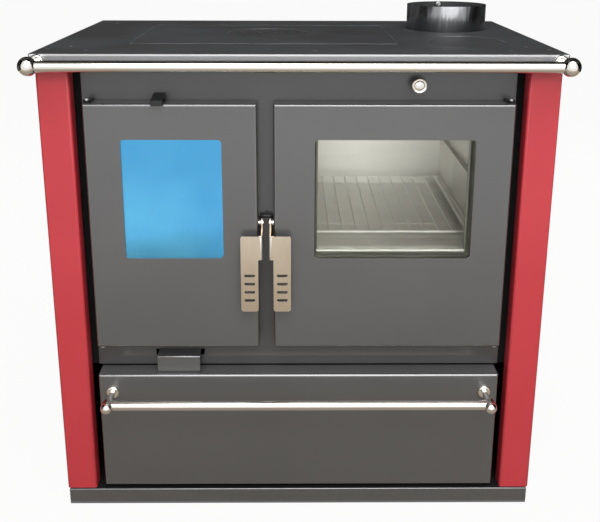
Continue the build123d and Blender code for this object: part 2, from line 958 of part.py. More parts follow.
def hinge_pins():
    pins = []
    for x in hinge_axes():
        for place, level, side in hinge_leaves(x):
            if side > 0:
                head = rod_z(place, hinge_setback, level + hinge_leaf,
                             level + hinge_leaf + hinge_head, hinge_head_radius)
                shank = rod_z(place, hinge_setback, door_top - hinge_pin_bite,
                              level + hinge_leaf, hinge_pin_radius)
            else:
                head = rod_z(place, hinge_setback, level - hinge_head, level, hinge_head_radius)
                shank = rod_z(place, hinge_setback, level, door_bottom + hinge_pin_bite,
                              hinge_pin_radius)
            pins.append(head + shank)
    return pins


def keeper_level():
    return pivot_height + tail_height / 2 + keeper_gap + keeper_radius


def latch_keeper():
    back = pivot_setback + pivot_eye_radius + tail_length - keeper_radius - keeper_overhang
    left = left_flange_face - handle_sheet - keeper_overhang
    right = right_flange_face + handle_sheet + keeper_overhang
    bar = rod_x(left, right, back, keeper_level(), keeper_radius)
    web = block(doors_middle - keeper_web / 2, doors_middle + keeper_web / 2, back, front_setback,
                keeper_level() - keeper_radius, keeper_level() + keeper_radius * 2)
    return bar + web


# Doors
def window_cut(x0, x1, d0, d1, grow):
    cut = block(x0 - grow, x1 + grow, d0, d1, window_bottom - grow, window_top + grow)
    return rounded(cut, Axis.Y, window_radius)


def door_panel(x0, x1, window, hinge_x, latch_x):
    panel = pan(x0, x1, door_bottom, door_top)
    panel -= window_cut(window[0], window[1], -overrun, door_sheet + overrun, 0)
    panel -= rod_z(hinge_x, hinge_setback, door_bottom - overrun, door_top + overrun,
                   hinge_pin_radius + fit)
    return panel - rod_x(latch_x - overrun, latch_x + overrun, pivot_setback, pivot_height,
                         pivot_radius)


def door_liner(x0, x1, window):
    sheet = block(x0 + door_sheet, x1 - door_sheet, liner_setback, liner_setback + liner_sheet,
                  door_bottom + door_sheet, door_top - door_sheet)
    return sheet - window_cut(window[0], window[1], liner_setback - overrun,
                              liner_setback + liner_sheet + overrun, liner_window_margin)


def door_glass(window):
    return window_cut(window[0], window[1], door_sheet, door_sheet + glass_thickness, glass_overlap)


def door_glass_clips(window):
    """Four clips, screwed beside the glass, that hold it against the door sheet."""
    clips = []
    back = door_sheet + glass_thickness
    middle_x = (window[0] + window[1]) / 2
    middle_z = (window_bottom + window_top) / 2
    left = window[0] - glass_overlap
    right = window[1] + glass_overlap
    low = window_bottom - glass_overlap
    high = window_top + glass_overlap
    half = clip_width / 2
    for edge, way in ((left, -1), (right, 1)):
        foot = sorted((edge, edge + way * clip_reach))
        lap = sorted((edge - way * clip_reach, edge + way * clip_reach))
        clips.append(block(*foot, door_sheet, back, middle_z - half, middle_z + half)
                     + block(*lap, back, back + clip_sheet, middle_z - half, middle_z + half))
    for edge, way in ((low, -1), (high, 1)):
        foot = sorted((edge, edge + way * clip_reach))
        lap = sorted((edge - way * clip_reach, edge + way * clip_reach))
        clips.append(block(middle_x - half, middle_x + half, door_sheet, back, *foot)
                     + block(middle_x - half, middle_x + half, back, back + clip_sheet, *lap))
    return clips


def door_seal(x0, x1, z0, z1):
    """A rope seal round an opening, from the liner to just short of the front panel."""
    front = liner_setback + liner_sheet
    rear = front_setback - fit
    return ring(block(x0 - seal_width, x1 + seal_width, front, rear, z0 - seal_width, z1 + seal_width),
                block(x0, x1, front - overrun, rear + overrun, z0, z1))


def latch_pin(edge, face, side):
    """The rivet that a handle hangs on, with a bush between the door and the flange."""
    inner = edge + side * (door_sheet + pivot_head)
    near = face + side * (handle_sheet + fit)
    tip = face - side * fit
    end = tip - side * pivot_head
    bar = rod_x(min(inner, end), max(inner, end), pivot_setback, pivot_height, pivot_radius)
    bush = rod_x(min(edge, near), max(edge, near), pivot_setback, pivot_height, pivot_bush_radius)
    head = rod_x(min(tip, end), max(tip, end), pivot_setback, pivot_height, pivot_head_radius)
    return bar + bush + head


def left_door_handle():
    """The handle of the left door, with its flange, pivot eye and catch tail."""
    face = left_flange_face
    front = -handle_standoff - handle_sheet
    plate_left = firebox_door_right - handle_width + slip
    plate_right = firebox_door_right + slip
    flange_bottom_z = handle_top - handle_flange_height
    upper = block(plate_left, face, front, -handle_standoff, flange_bottom_z, handle_top)
    upper = fillet(upper.edges().filter_by(Axis.Y).group_by(Axis.X)[0].sort_by(Axis.Z)[-1],
                   handle_corner_radius)
    eye = rod_x(face - handle_sheet, face, pivot_setback, pivot_height, pivot_eye_radius)
    flange = block(face - handle_sheet, face, front, pivot_setback + pivot_eye_radius,
                   flange_bottom_z, handle_top)
    neck = block(face - handle_sheet, face, pivot_setback - pivot_eye_radius,
                 pivot_setback + pivot_eye_radius, handle_top - handle_sheet, pivot_height)
    tail = block(face - handle_sheet, face, pivot_setback, pivot_setback + pivot_eye_radius + tail_length,
                 pivot_height - tail_height / 2, pivot_height + tail_height / 2)
    bend = upper + flange
    corner = bend.edges().filter_by(Axis.Z).group_by(Axis.Y)[0].sort_by(Axis.X)[-1]
    bend = fillet(corner, handle_bend_radius)
    lower = block(plate_left, plate_right, front, -handle_standoff, handle_bottom, flange_bottom_z)
    lower = fillet(lower.edges().filter_by(Axis.Y).group_by(Axis.Z)[0], handle_corner_radius)
    handle = bend + lower + eye + neck + tail
    middle = (plate_left + plate_right) / 2
    for slot in range(handle_slot_count):
        level = handle_bottom + handle_slot_start + slot * handle_slot_pitch
        cut = block(middle - handle_slot_length / 2, middle + handle_slot_length / 2,
                    front - overrun, -handle_standoff + overrun,
                    level - handle_slot_height / 2, level + handle_slot_height / 2)
        handle -= rounded(cut, Axis.Y, handle_slot_height / 3)
    return handle - rod_x(face - handle_sheet - overrun, face + overrun, pivot_setback, pivot_height,
                          pivot_radius + fit)


def right_door_handle():
    middle = Plane(origin=(doors_middle, 0, 0), z_dir=(1, 0, 0))
    return mirror(left_door_handle(), about=middle)


# Secondary air control
def air_lever_middle():
    return firebox_door_left + air_lever_offset


def air_stem_front():
    return door_depth - slip * 2 - air_lever_foot - air_stem_length


def air_stem_slot():
    """The slot that the slider runs in, in the top of the firebox door."""
    reach = air_stem_width / 2 + air_lever_travel + slip
    return block(air_lever_middle() - reach, air_lever_middle() + reach, air_stem_front() - slip,
                 air_stem_front() + air_stem_length + slip, door_top - door_sheet - overrun,
                 door_top + overrun)


def secondary_air_tab():
    """A slider on top of the firebox door that slopes down to a lip before the face."""
    left = air_lever_middle() - air_lever_width / 2
    front = -air_lever_reach
    lip_rear = front + air_lever_sheet
    rear = door_depth - slip * 2
    foot = air_stem_front() - slip
    low = door_top + fit
    top = low + air_lever_rise
    front_top = top - air_lever_fall
    lip = front_top - air_lever_lip - air_lever_sheet
    outline = Polyline((rear, low), (rear, top), (front, front_top), (front, lip), (lip_rear, lip),
                       (lip_rear, front_top - air_lever_sheet), (foot, top - air_lever_sheet * 3 / 2),
                       (foot, low), close=True)
    face = make_face(Plane(origin=(left, face_y, 0), x_dir=(0, 1, 0), z_dir=(1, 0, 0)) * outline)
    shutter_top = door_top - door_sheet - fit
    stem = block(air_lever_middle() - air_stem_width / 2, air_lever_middle() + air_stem_width / 2,
                 air_stem_front(), air_stem_front() + air_stem_length, shutter_top, low)
    shutter_rear = liner_setback - slip
    shutter = block(air_lever_middle() - air_shutter_width / 2, air_lever_middle() + air_shutter_width / 2,
                    shutter_rear - air_shutter_length, shutter_rear, shutter_top - air_shutter_sheet,
                    shutter_top)
    return extrude(face, air_lever_width) + stem + shutter


# Drawer
def drawer_front():
    return pan(-drawer_half, drawer_half, drawer_bottom, drawer_top)


def drawer_box():
    return welded_box(-drawer_box_half, drawer_box_half, door_sheet, drawer_box_rear,
                      drawer_box_bottom, drawer_box_bottom + drawer_box_height, drawer_box_sheet)


def left_drawer_runner():
    """An upright that carries the shelf, with a ledge under the drawer box."""
    outer = -runner_half - runner_sheet
    upright = block(outer, -runner_half, body_inner_front, body_rear, base_top, shelf_bottom)
    ledge = block(-runner_half, -runner_half + runner_ledge, body_inner_front, body_rear,
                  base_top, drawer_box_bottom - fit)
    return upright + ledge


# Rails
def top_rail_end():
    """Where the rail stops against the flat of its ball."""
    return top_rail_half_span - sqrt(top_ball_radius ** 2 - rail_radius ** 2)


def top_rail_ball(side):
    """A ball with flats where the rail and the post meet it."""
    x = side * top_rail_half_span
    radius = top_ball_radius
    low = top_rail_height - radius
    high = top_rail_height + radius
    post_flat = -top_rail_reach + sqrt(radius ** 2 - post_radius ** 2)
    inner = sorted((side * top_rail_end(), x - side * (radius + overrun)))
    ball = Pos(x, face_y - top_rail_reach, top_rail_height) * Sphere(radius)
    ball -= block(*inner, -top_rail_reach - radius, -top_rail_reach + radius, low, high)
    return ball - block(x - radius, x + radius, post_flat, -top_rail_reach + radius + overrun, low, high)


def top_rail_post(side):
    """The post behind a ball of the top rail, with its rosette on the rim."""
    x = side * top_rail_half_span
    front = -top_rail_reach + sqrt(top_ball_radius ** 2 - post_radius ** 2)
    return rod_y(x, front, skirt_front, top_rail_height, post_radius) + rosette(
        x, skirt_front, top_rail_height)


def rosette(x, seat, height):
    """The rounded foot of a post."""
    disc = rod_y(x, seat - rosette_thickness, seat, height, rosette_radius)
    return fillet(disc.edges().group_by(Axis.Y)[0], rosette_round)


def top_rail():
    return rod_x(-top_rail_end(), top_rail_end(), -top_rail_reach, top_rail_height, rail_radius)


def drawer_ball_seat():
    """Where the ball in front of the drawer rail meets its socket."""
    flat = sqrt(drawer_ball_radius ** 2 - rail_socket_radius ** 2)
    return -drawer_rail_reach - drawer_ball_setout + flat


def drawer_rail_socket(side):
    """The short thick sleeve that takes the end of the drawer rail."""
    return rod_y(side * drawer_rail_half_span, drawer_ball_seat(),
                 -drawer_rail_reach + rail_socket_radius, drawer_rail_height, rail_socket_radius)


def drawer_rail_ball(side):
    x = side * drawer_rail_half_span
    radius = drawer_ball_radius
    middle = -drawer_rail_reach - drawer_ball_setout
    ball = Pos(x, face_y + middle, drawer_rail_height) * Sphere(radius)
    return ball - block(x - radius, x + radius, drawer_ball_seat(), middle + radius + overrun,
                        drawer_rail_height - radius, drawer_rail_height + radius)


def drawer_rail_post(side):
    """The sleeve, post and rosette that carry one end of the drawer rail."""
    x = side * drawer_rail_half_span
    post = rod_y(x, -drawer_rail_reach, 0, drawer_rail_height, post_radius)
    return drawer_rail_socket(side) + post + rosette(x, 0, drawer_rail_height)


def drawer_rail():
    bar = rod_x(-drawer_rail_half_span, drawer_rail_half_span, -drawer_rail_reach,
                drawer_rail_height, rail_radius)
    front = -drawer_rail_reach - rail_radius - overrun
    rear = -drawer_rail_reach + rail_radius + overrun
    for side in (-1, 1):
        bar -= rod_y(side * drawer_rail_half_span, front, rear, drawer_rail_height, rail_socket_radius)
        bar -= drawer_rail_ball(side)
    return bar


# Ash pan
def ash_pan():
    left = ash_left + pan_margin
    right = ash_right - pan_margin
    sheets = welded_box(left, right, pan_front, pan_rear, ash_pan_bottom, ash_pan_bottom + pan_height,
                        pan_sheet)
    third = (right - left) / 3
    level = ash_pan_bottom + pan_height - pan_grip_height
    grip = block(left + third, right - third, pan_front - pan_grip, pan_front, level,
                 level + pan_sheet)
    lip = block(left + third, right - third, pan_front - pan_grip, pan_front - pan_grip + pan_sheet,
                level - pan_grip_height, level)
    return sheets + [grip + lip]


seal_lap = seal_inset + fit

parts = {
    "plinth": plinth(),
    "base_plate": base_plate(),
    "left_side_panel": left_side_panel(),
    "right_side_panel": mirrored(left_side_panel()),
    "rear_panel": rear_panel(),
    "rear_panel_screws": rear_panel_screws(),
    "hob_rim_frame": hob_rim_frame(),
    "hob_plate": hob_plate(),
    "hob_screws": hob_screws(),
    "insert_support": insert_support(),
    "hob_insert": hob_insert(),
    "ring_lid": ring_lid(),
    "access_lid": access_lid(),
    "flue_collar": flue_collar(),
    "collar_screw": collar_screw(),
    "front_panel": front_panel(),
    "inner_front_wall": inner_front_wall(),
    "inner_left_wall": inner_left_wall(),
    "inner_right_wall": mirrored(inner_left_wall()),
    "inner_rear_wall": inner_rear_wall(),
    "middle_shelf": middle_shelf(),
    "firebox_side_walls": firebox_side_walls(),
    "ash_floor": ash_floor(),
    "grate_support": grate_support(),
    "firebox_grate": firebox_grate(),
    "side_firebricks": side_firebricks(),
    "rear_firebricks": rear_firebricks(),
    "oven_box": oven_box(),
    "oven_runners": oven_runners(),
    "oven_rack": oven_rack(),
    "smoke_baffle": smoke_baffle(),
    "damper_knob": damper_knob(),
    "damper_plate": damper_plate(),
    "primary_air_tab": primary_air_tab(),
    "secondary_air_tab": secondary_air_tab(),
    "hinge_brackets": hinge_brackets(),
    "hinge_pins": hinge_pins(),
    "latch_keeper": latch_keeper(),
    "firebox_door_panel": door_panel(firebox_door_left, firebox_door_right, firebox_window,
                                     hinge_axes()[0], firebox_door_right) - air_stem_slot(),
    "firebox_door_liner": door_liner(firebox_door_left, firebox_door_right, firebox_window),
    "firebox_glass": door_glass(firebox_window),
    "firebox_glass_clips": door_glass_clips(firebox_window),
    "firebox_door_seal": door_seal(fuel_left - seal_lap, fuel_right + seal_lap,
                                   ash_bottom - seal_lap, fuel_top + seal_lap),
    "firebox_latch_pin": latch_pin(firebox_door_right, left_flange_face, -1),
    "firebox_door_handle": left_door_handle(),
    "oven_door_panel": door_panel(oven_door_left, oven_door_right, oven_window,
                                  hinge_axes()[1], oven_door_left),
    "oven_door_liner": door_liner(oven_door_left, oven_door_right, oven_window),
    "oven_glass": door_glass(oven_window),
    "oven_glass_clips": door_glass_clips(oven_window),
    "oven_door_seal": door_seal(oven_left - oven_sheet - seal_lap, oven_right + oven_sheet + seal_lap,
                                oven_floor - oven_sheet - seal_lap, oven_top + oven_sheet + seal_lap),
    "oven_latch_pin": latch_pin(oven_door_left, right_flange_face, 1),
    "oven_door_handle": right_door_handle(),
    "drawer_front": drawer_front(),
    "drawer_box": drawer_box(),
    "drawer_runners": [left_drawer_runner(), mirrored(left_drawer_runner())],
    "drawer_rail": drawer_rail(),
    "drawer_rail_ends": [make(side) for side in (-1, 1) for make in (drawer_rail_ball, drawer_rail_post)],
    "top_rail": top_rail(),
    "top_rail_ends": [make(side) for side in (-1, 1) for make in (top_rail_ball, top_rail_post)],
    "ash_pan": ash_pan(),
}

os.makedirs("parts", exist_ok=True)
for name, pieces in parts.items():
    group = pieces if isinstance(pieces, list) else [pieces]
    solids = [solid for piece in group for solid in piece.solids()]
    export_step(solids[0] if len(solids) == 1 else Compound(solids), f"parts/{name}.step")
    print(name, len(solids), round(sum(solid.volume for solid in solids)))
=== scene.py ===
# %% [markdown]
# # A wood-burning cook stove
#
# The imported model gives every steel part its exact place. This script is a lesson in
# dressing it: a studio, one finish for each real material plus a darker copy of the
# anthracite paint as painted shade, and the small pieces whose shape needs more than plain
# CAD, such as the screw sockets and the relief of the lid.
#
# The model is loaded first.

# %% Load the frame
import math

import bmesh
import bpy
from mathutils import Euler, Matrix, Vector


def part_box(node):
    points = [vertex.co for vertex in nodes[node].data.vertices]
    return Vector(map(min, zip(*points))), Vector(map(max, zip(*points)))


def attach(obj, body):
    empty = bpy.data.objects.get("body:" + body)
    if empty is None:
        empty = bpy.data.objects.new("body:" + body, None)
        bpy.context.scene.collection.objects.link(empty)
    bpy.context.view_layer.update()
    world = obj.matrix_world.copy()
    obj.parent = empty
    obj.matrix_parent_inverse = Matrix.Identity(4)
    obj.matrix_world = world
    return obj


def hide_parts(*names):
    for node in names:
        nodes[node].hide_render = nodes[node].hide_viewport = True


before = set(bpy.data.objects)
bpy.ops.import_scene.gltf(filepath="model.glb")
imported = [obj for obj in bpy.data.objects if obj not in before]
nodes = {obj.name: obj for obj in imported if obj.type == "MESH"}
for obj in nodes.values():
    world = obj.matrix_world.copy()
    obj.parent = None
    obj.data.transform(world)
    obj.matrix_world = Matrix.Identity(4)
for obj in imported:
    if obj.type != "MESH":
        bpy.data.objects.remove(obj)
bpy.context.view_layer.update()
MM = 0.001
SAME_POINT = 0.01 * MM  # corners nearer to each other than this are one corner

# %% [markdown]
# ## Camera
#
# The photograph was taken from a little above the cooktop, about 1.3 m in front of the
# stove, with the camera tilted down. The lens, place and tilt were solved from the stove's
# straight edges. The picture was cropped off centre, and the lens shift repeats that crop.

# %% The camera
CAMERA_PLACE_MM = (-11.65, -1565.73, 943.05)
PITCH_DOWN_DEG = 16.479
YAW_RIGHT_DEG = 0.5455
ROLL_DEG = 0.1714
LENS_MM = 53.72
SENSOR_WIDTH_MM = 36
SHIFT_UP = -0.1


def camera_axes(pitch, yaw, roll):
    """The directions right, up and ahead for a camera that is tilted, turned and rolled."""
    ahead = Vector((math.sin(yaw) * math.cos(pitch), math.cos(yaw) * math.cos(pitch),
                    -math.sin(pitch)))
    level = Vector((math.cos(yaw), -math.sin(yaw), 0))
    top = level.cross(ahead)
    right = level * math.cos(roll) + top * math.sin(roll)
    up = top * math.cos(roll) - level * math.sin(roll)
    return right, up, ahead


angles = [math.radians(angle) for angle in (PITCH_DOWN_DEG, YAW_RIGHT_DEG, ROLL_DEG)]
right, up, ahead = camera_axes(*angles)
lens = bpy.data.cameras.new("stove_camera")
lens.lens = LENS_MM
lens.sensor_width = SENSOR_WIDTH_MM
lens.shift_y = SHIFT_UP
camera = bpy.data.objects.new("stove_camera", lens)
aimed = Matrix((right, up, -ahead)).transposed().to_4x4()
camera.matrix_world = Matrix.Translation(Vector(CAMERA_PLACE_MM) * MM) @ aimed
bpy.context.collection.objects.link(camera)
bpy.context.scene.camera = camera
bpy.context.scene.view_settings.view_transform = "Standard"
print("camera looks along", tuple(round(part, 3) for part in ahead))

# %% [markdown]
# ## Colours and nodes
#
# Colours are written as sRGB hex values, as a paint chart gives them, and one function
# turns them to the linear values that the shaders want. One small function adds a node
# with its settings and its links. The pattern of a finish is given by its real size.


# %% Helpers for materials
def linear(code):
    """A hex colour such as #C7464E as linear red, green, blue and alpha, by the sRGB curve."""
    parts = [int(code[i:i + 2], 16) / 255 for i in (1, 3, 5)]
    return [c / 12.92 if c <= 0.04045 else ((c + 0.055) / 1.055) ** 2.4 for c in parts] + [1]


def add_node(tree, kind, settings=None, **inputs):
    """Adds a node. An input is a value, or the socket that it is linked to."""
    node = tree.nodes.new(kind)
    for name, value in (settings or {}).items():
        setattr(node, name, value)
    for name, value in inputs.items():
        # _0 is the node's first input, and Base_Color the one called Base Color.
        numbered = name[1:].isdigit()
        socket = node.inputs[int(name[1:]) if numbered else name.replace("_", " ")]
        if isinstance(value, bpy.types.NodeSocket):
            tree.links.new(value, socket)
        else:
            socket.default_value = value
    return node


def start_material(name):
    """An empty material and its tree, with only the output node in it."""
    material = bpy.data.materials.new(name)
    material.use_nodes = True
    tree = material.node_tree
    tree.nodes.clear()
    output = tree.nodes.new("ShaderNodeOutputMaterial")
    return material, tree, output


def set_stops(ramp, stops):
    """Gives a colour ramp its stops: a place from 0 to 1, and the hex colour there."""
    elements = ramp.color_ramp.elements
    for place in list(stops)[len(elements):]:
        elements.new(place)
    for stop, (place, code) in zip(elements, stops.items()):
        stop.position = place
        stop.color = linear(code)


def per_metre(size_mm):
    """The scale of a pattern whose features are that many millimetres apart."""
    return 1 / (size_mm * MM)


# %% [markdown]
# ## The studio
#
# A pale floor and a white surround, as in a shop's cut-out picture. The camera, and the
# reflections in metal and glass, see the surround as white, while the light that falls
# on the stove comes from soft lamps and a faint glow all round.

# %% World
AMBIENT = 0.26


def background_rays(tree):
    """One where the camera, a mirror or a pane of glass looks at the background."""
    path = add_node(tree, "ShaderNodeLightPath")
    seen = path.outputs["Is Camera Ray"]
    for kind in ("Is Glossy Ray", "Is Transmission Ray"):
        seen = add_node(tree, "ShaderNodeMath", {"operation": "MAXIMUM"}, _0=seen,
                        _1=path.outputs[kind]).outputs[0]
    return seen


world = bpy.data.worlds.new("studio")
bpy.context.scene.world = world
world.use_nodes = True
tree = world.node_tree
tree.nodes.clear()
ambient = add_node(tree, "ShaderNodeBackground", Color=linear("#F4F3F0"), Strength=AMBIENT)
white = add_node(tree, "ShaderNodeBackground", Color=linear("#FFFFFF"), Strength=1.0)
mixed = add_node(tree, "ShaderNodeMixShader", _0=background_rays(tree), _1=ambient.outputs[0],
                 _2=white.outputs[0])
sky = tree.nodes.new("ShaderNodeOutputWorld")
tree.links.new(mixed.outputs[0], sky.inputs["Surface"])
print("ambient strength", AMBIENT)

# %% [markdown]
# The floor is seen nearly white too, but keeps some matt paint of its own, which shows the
# stove's soft shadow. More light could make it white as well, but that light would also
# bleach the stove.

# %% Floor
FLOOR_SIZE_M = 40
FLOOR_GLOW = 0.95
floor_paint, tree, output = start_material("studio_floor")
matt = add_node(tree, "ShaderNodeBsdfDiffuse", Color=linear("#C9C3B9"))
glow = add_node(tree, "ShaderNodeEmission", Color=linear("#FFFFFF"), Strength=1.0)
share = add_node(tree, "ShaderNodeMath", {"operation": "MULTIPLY"}, _0=background_rays(tree),
                 _1=FLOOR_GLOW)
mixed = add_node(tree, "ShaderNodeMixShader", _0=share.outputs[0], _1=matt.outputs[0],
                 _2=glow.outputs[0])
tree.links.new(mixed.outputs[0], output.inputs["Surface"])


def stage_sheet(name, size, turn, place, material):
    """A flat sheet of the studio, size metres wide and high before it is turned and placed."""
    shape = bmesh.new()
    bmesh.ops.create_grid(shape, x_segments=1, y_segments=1, size=0.5)
    bmesh.ops.scale(shape, verts=shape.verts, vec=(*size, 1))
    bmesh.ops.rotate(shape, verts=shape.verts, cent=(0, 0, 0),
                     matrix=Euler([math.radians(angle) for angle in turn]).to_matrix())
    bmesh.ops.translate(shape, verts=shape.verts, vec=place)
    mesh = bpy.data.meshes.new(name)
    shape.to_mesh(mesh)
    shape.free()
    mesh.materials.append(material)
    sheet = bpy.data.objects.new(name, mesh)
    bpy.context.collection.objects.link(sheet)
    return sheet


stage_sheet("studio_floor", (FLOOR_SIZE_M, FLOOR_SIZE_M), (0, 0, 0), (0, 0, 0), floor_paint)
print("floor", FLOOR_SIZE_M, "m wide")

# %% [markdown]
# Chrome and polished steel show nothing but their surroundings. In an all-white room they
# look like white paint, so a product photographer stands dark cloth flags at the sides,
# behind and overhead. The cloth hangs in soft folds, some of them a shade lighter.

# %% Cloth of the flags
CLOTH_FOLD_MM = 700
flag_cloth, tree, output = start_material("flag_cloth")
place = add_node(tree, "ShaderNodeTexCoord").outputs["Object"]
folds = add_node(tree, "ShaderNodeTexNoise", Vector=place, Scale=per_metre(CLOTH_FOLD_MM),
                 Detail=2.0)
cloth = add_node(tree, "ShaderNodeValToRGB", Fac=folds.outputs["Fac"])
set_stops(cloth, {0.48: "#0B0B0C", 0.72: "#7A7876"})
glow = add_node(tree, "ShaderNodeEmission", Color=cloth.outputs["Color"], Strength=1.0)
tree.links.new(glow.outputs[0], output.inputs["Surface"])
print("made", flag_cloth.name)

# %% [markdown]
# A card lies on the floor in front. It is sandy near the stove and fades to white away
# from it, with soft patches, so that rails and handles get a warm lower half.

# %% Paper of the card
CARD_COLOURS = {0.12: "#9C9285", 0.5: "#B3AA9D", 0.8: "#DDD7CD", 1.0: "#FFFFFF"}
CARD_PATCH_MM = 260
PATCH_SHARE = 0.3
SANDY_UP_TO_Y, WHITE_FROM_Y = -0.3, -2.0
card_paper, tree, output = start_material("card_paper")
place = add_node(tree, "ShaderNodeTexCoord").outputs["Object"]
depth = add_node(tree, "ShaderNodeSeparateXYZ", Vector=place).outputs["Y"]
patchy = add_node(tree, "ShaderNodeTexNoise", Vector=place, Scale=per_metre(CARD_PATCH_MM),
                  Detail=3.0)
reach = add_node(tree, "ShaderNodeMapRange", Value=depth, From_Min=SANDY_UP_TO_Y,
                 From_Max=WHITE_FROM_Y)
uneven = add_node(tree, "ShaderNodeMath", {"operation": "MULTIPLY_ADD"},
                  _0=patchy.outputs["Fac"], _1=PATCH_SHARE, _2=reach.outputs[0])
fading = add_node(tree, "ShaderNodeValToRGB", Fac=uneven.outputs[0])
set_stops(fading, CARD_COLOURS)
glow = add_node(tree, "ShaderNodeEmission", Color=fading.outputs["Color"], Strength=1.0)
tree.links.new(glow.outputs[0], output.inputs["Surface"])
print("made", card_paper.name)

# %% [markdown]
# The flags and the card are seen only by reflections: they throw no shadow and the camera
# looks through them.

# %% Flags and card
# size in metres, turn in degrees, place in metres, material
REFLECTED_ONLY = {
    "left_flag": ((3.6, 3.0), (90, 0, 90), (-1.9, 0.6, 1.5), flag_cloth),
    "right_flag": ((3.6, 3.0), (90, 0, 90), (1.9, 0.6, 1.5), flag_cloth),
    "rear_flag": ((3.8, 3.0), (90, 0, 0), (0.0, 2.4, 1.5), flag_cloth),
    "overhead_flag": ((3.8, 3.2), (0, 0, 0), (0.0, 0.8, 3.0), flag_cloth),
    "ground_card": ((5.0, 2.6), (0, 0, 0), (0.0, -0.9, 0.004), card_paper),
}
for name, (size, turn, place, material) in REFLECTED_ONLY.items():
    sheet = stage_sheet(name, size, turn, place, material)
    sheet.visible_camera = False
    sheet.visible_diffuse = False
    sheet.visible_transmission = False
    sheet.visible_shadow = False
print("sheets for reflections", len(REFLECTED_ONLY))

# %% [markdown]
# One round lamp hangs above the front like a bright sky: every folded edge of the sheet
# steel mirrors it as a thin bright line. A wider one stands further off like a window, and
# two small ones light the back and the sides.

# %% Lamps
# place and aim in metres, diameter in metres, power in watts
LAMPS = {
    "front_sky": ((0.25, -1.5, 2.7), (0.0, -0.15, 0.5), 2.2, 46),
    "front_window": ((0.2, -2.9, 1.9), (0.0, 0.0, 0.5), 3.3, 42),
    "left_rear": ((-2.4, 1.9, 1.1), (0.0, 0.0, 0.45), 1.6, 22),
    "right_rear": ((2.4, 1.9, 1.1), (0.0, 0.0, 0.45), 1.6, 22),
}
for name, (place, aim, diameter, power) in LAMPS.items():
    lamp = bpy.data.lights.new(name, "AREA")
    lamp.shape = "DISK"
    lamp.size = diameter
    lamp.energy = power
    holder = bpy.data.objects.new(name, lamp)
    holder.location = place
    holder.rotation_euler = (Vector(aim) - Vector(place)).to_track_quat("-Z", "Y").to_euler()
    bpy.context.collection.objects.link(holder)
print("lamps", len(LAMPS))

# %% [markdown]
# ## Finishes
#
# Each finish starts from what the real material is. Paint on steel has a fine orange
# peel from the spray gun. Ground steel shows lines along the grinding. Fireclay is
# matt and speckled. The pattern scales are real sizes, apart from those that a comment
# calls coarser.
#
# The anthracite paint holds fine metal flakes, so it is given a part of metallic
# reflection. The panel behind the doors and the rim stand back from the light, and get a
# darker copy of the same paint: painted shade for the shade they sit in. The lids are oiled
# iron, which is made the same way.

# %% Paint on sheet steel
PAINT_CLOUD_MM = 180
PAINT_GRAIN_MM = 1.6  # coarser than the real grain, which wouldn't show in the render
GRAIN_SHARE = 0.35
COAT_ROUGHNESS = 0.15


def stoved_paint(name, colour, shade, roughness, peel_mm=1.2, peel_depth_mm=0.03, flake=0.0,
                 coat=0.0, specular=0.5):
    """Sprayed and stoved paint: nearly even, with orange peel and a slight cloudiness."""
    material, tree, output = start_material(name)
    place = add_node(tree, "ShaderNodeTexCoord").outputs["Object"]
    cloud = add_node(tree, "ShaderNodeTexNoise", Vector=place,
                     Scale=per_metre(PAINT_CLOUD_MM), Detail=3.0)
    grain = add_node(tree, "ShaderNodeTexNoise", Vector=place,
                     Scale=per_metre(PAINT_GRAIN_MM), Detail=2.0)
    both = add_node(tree, "ShaderNodeMath", {"operation": "MULTIPLY_ADD"},
                    _0=grain.outputs["Fac"], _1=GRAIN_SHARE, _2=cloud.outputs["Fac"])
    tone = add_node(tree, "ShaderNodeMapRange", Value=both.outputs[0], From_Min=0.35,
                    From_Max=1.0)
    paint = add_node(tree, "ShaderNodeMix", {"data_type": "RGBA"}, Factor=tone.outputs[0])
    paint.inputs["A"].default_value = linear(shade)
    paint.inputs["B"].default_value = linear(colour)
    peel = add_node(tree, "ShaderNodeTexNoise", Vector=place, Scale=per_metre(peel_mm),
                    Detail=1.0)
    bump = add_node(tree, "ShaderNodeBump", Height=peel.outputs["Fac"], Strength=0.5,
                    Distance=peel_depth_mm * MM)
    shader = add_node(tree, "ShaderNodeBsdfPrincipled", Base_Color=paint.outputs["Result"],
                      Metallic=flake, Roughness=roughness, Normal=bump.outputs[0])
    shader.inputs["Specular IOR Level"].default_value = specular
    shader.inputs["Coat Weight"].default_value = coat
    shader.inputs["Coat Roughness"].default_value = COAT_ROUGHNESS
    tree.links.new(shader.outputs[0], output.inputs["Surface"])
    print("made", name)
    return material


# %% [markdown]
# Each painted finish is now one call: a colour, a slightly darker shade for the
# cloudiness, a roughness, and what sets it apart.

# %% The painted finishes
# Enamel: an even, full red with a soft gloss.
red_enamel = stoved_paint("red_enamel", "#CF3A45", "#C8333F", 0.4, peel_mm=1.4, coat=0.25)
# Stoved paint with flakes: a grey that lightens where it mirrors a lamp.
anthracite_paint = stoved_paint("anthracite_paint", "#676768", "#616162", 0.4, flake=0.4,
                                coat=0.5)
# A darker copy of the anthracite paint: painted shade for the panel behind the doors and the
# rim.
anthracite_painted_shade = stoved_paint("anthracite_painted_shade", "#5B5B5C", "#555556", 0.4, flake=0.4, coat=0.5)
# Iron wiped with oil: nearly black, with little gloss.
oiled_iron = stoved_paint("oiled_iron", "#434546", "#3A3A3B", 0.55, peel_mm=1.0,
                          specular=0.25)
# Black paint on the small fittings: their edges still catch the light.
black_paint = stoved_paint("black_paint", "#27282A", "#202122", 0.36, flake=0.3)
# Heatproof paint: matt and sooty, so that the inside stays dark.
black_heatproof = stoved_paint("black_heatproof", "#19191A", "#121213", 0.8, peel_mm=1.0,
                               peel_depth_mm=0.05, specular=0.2)

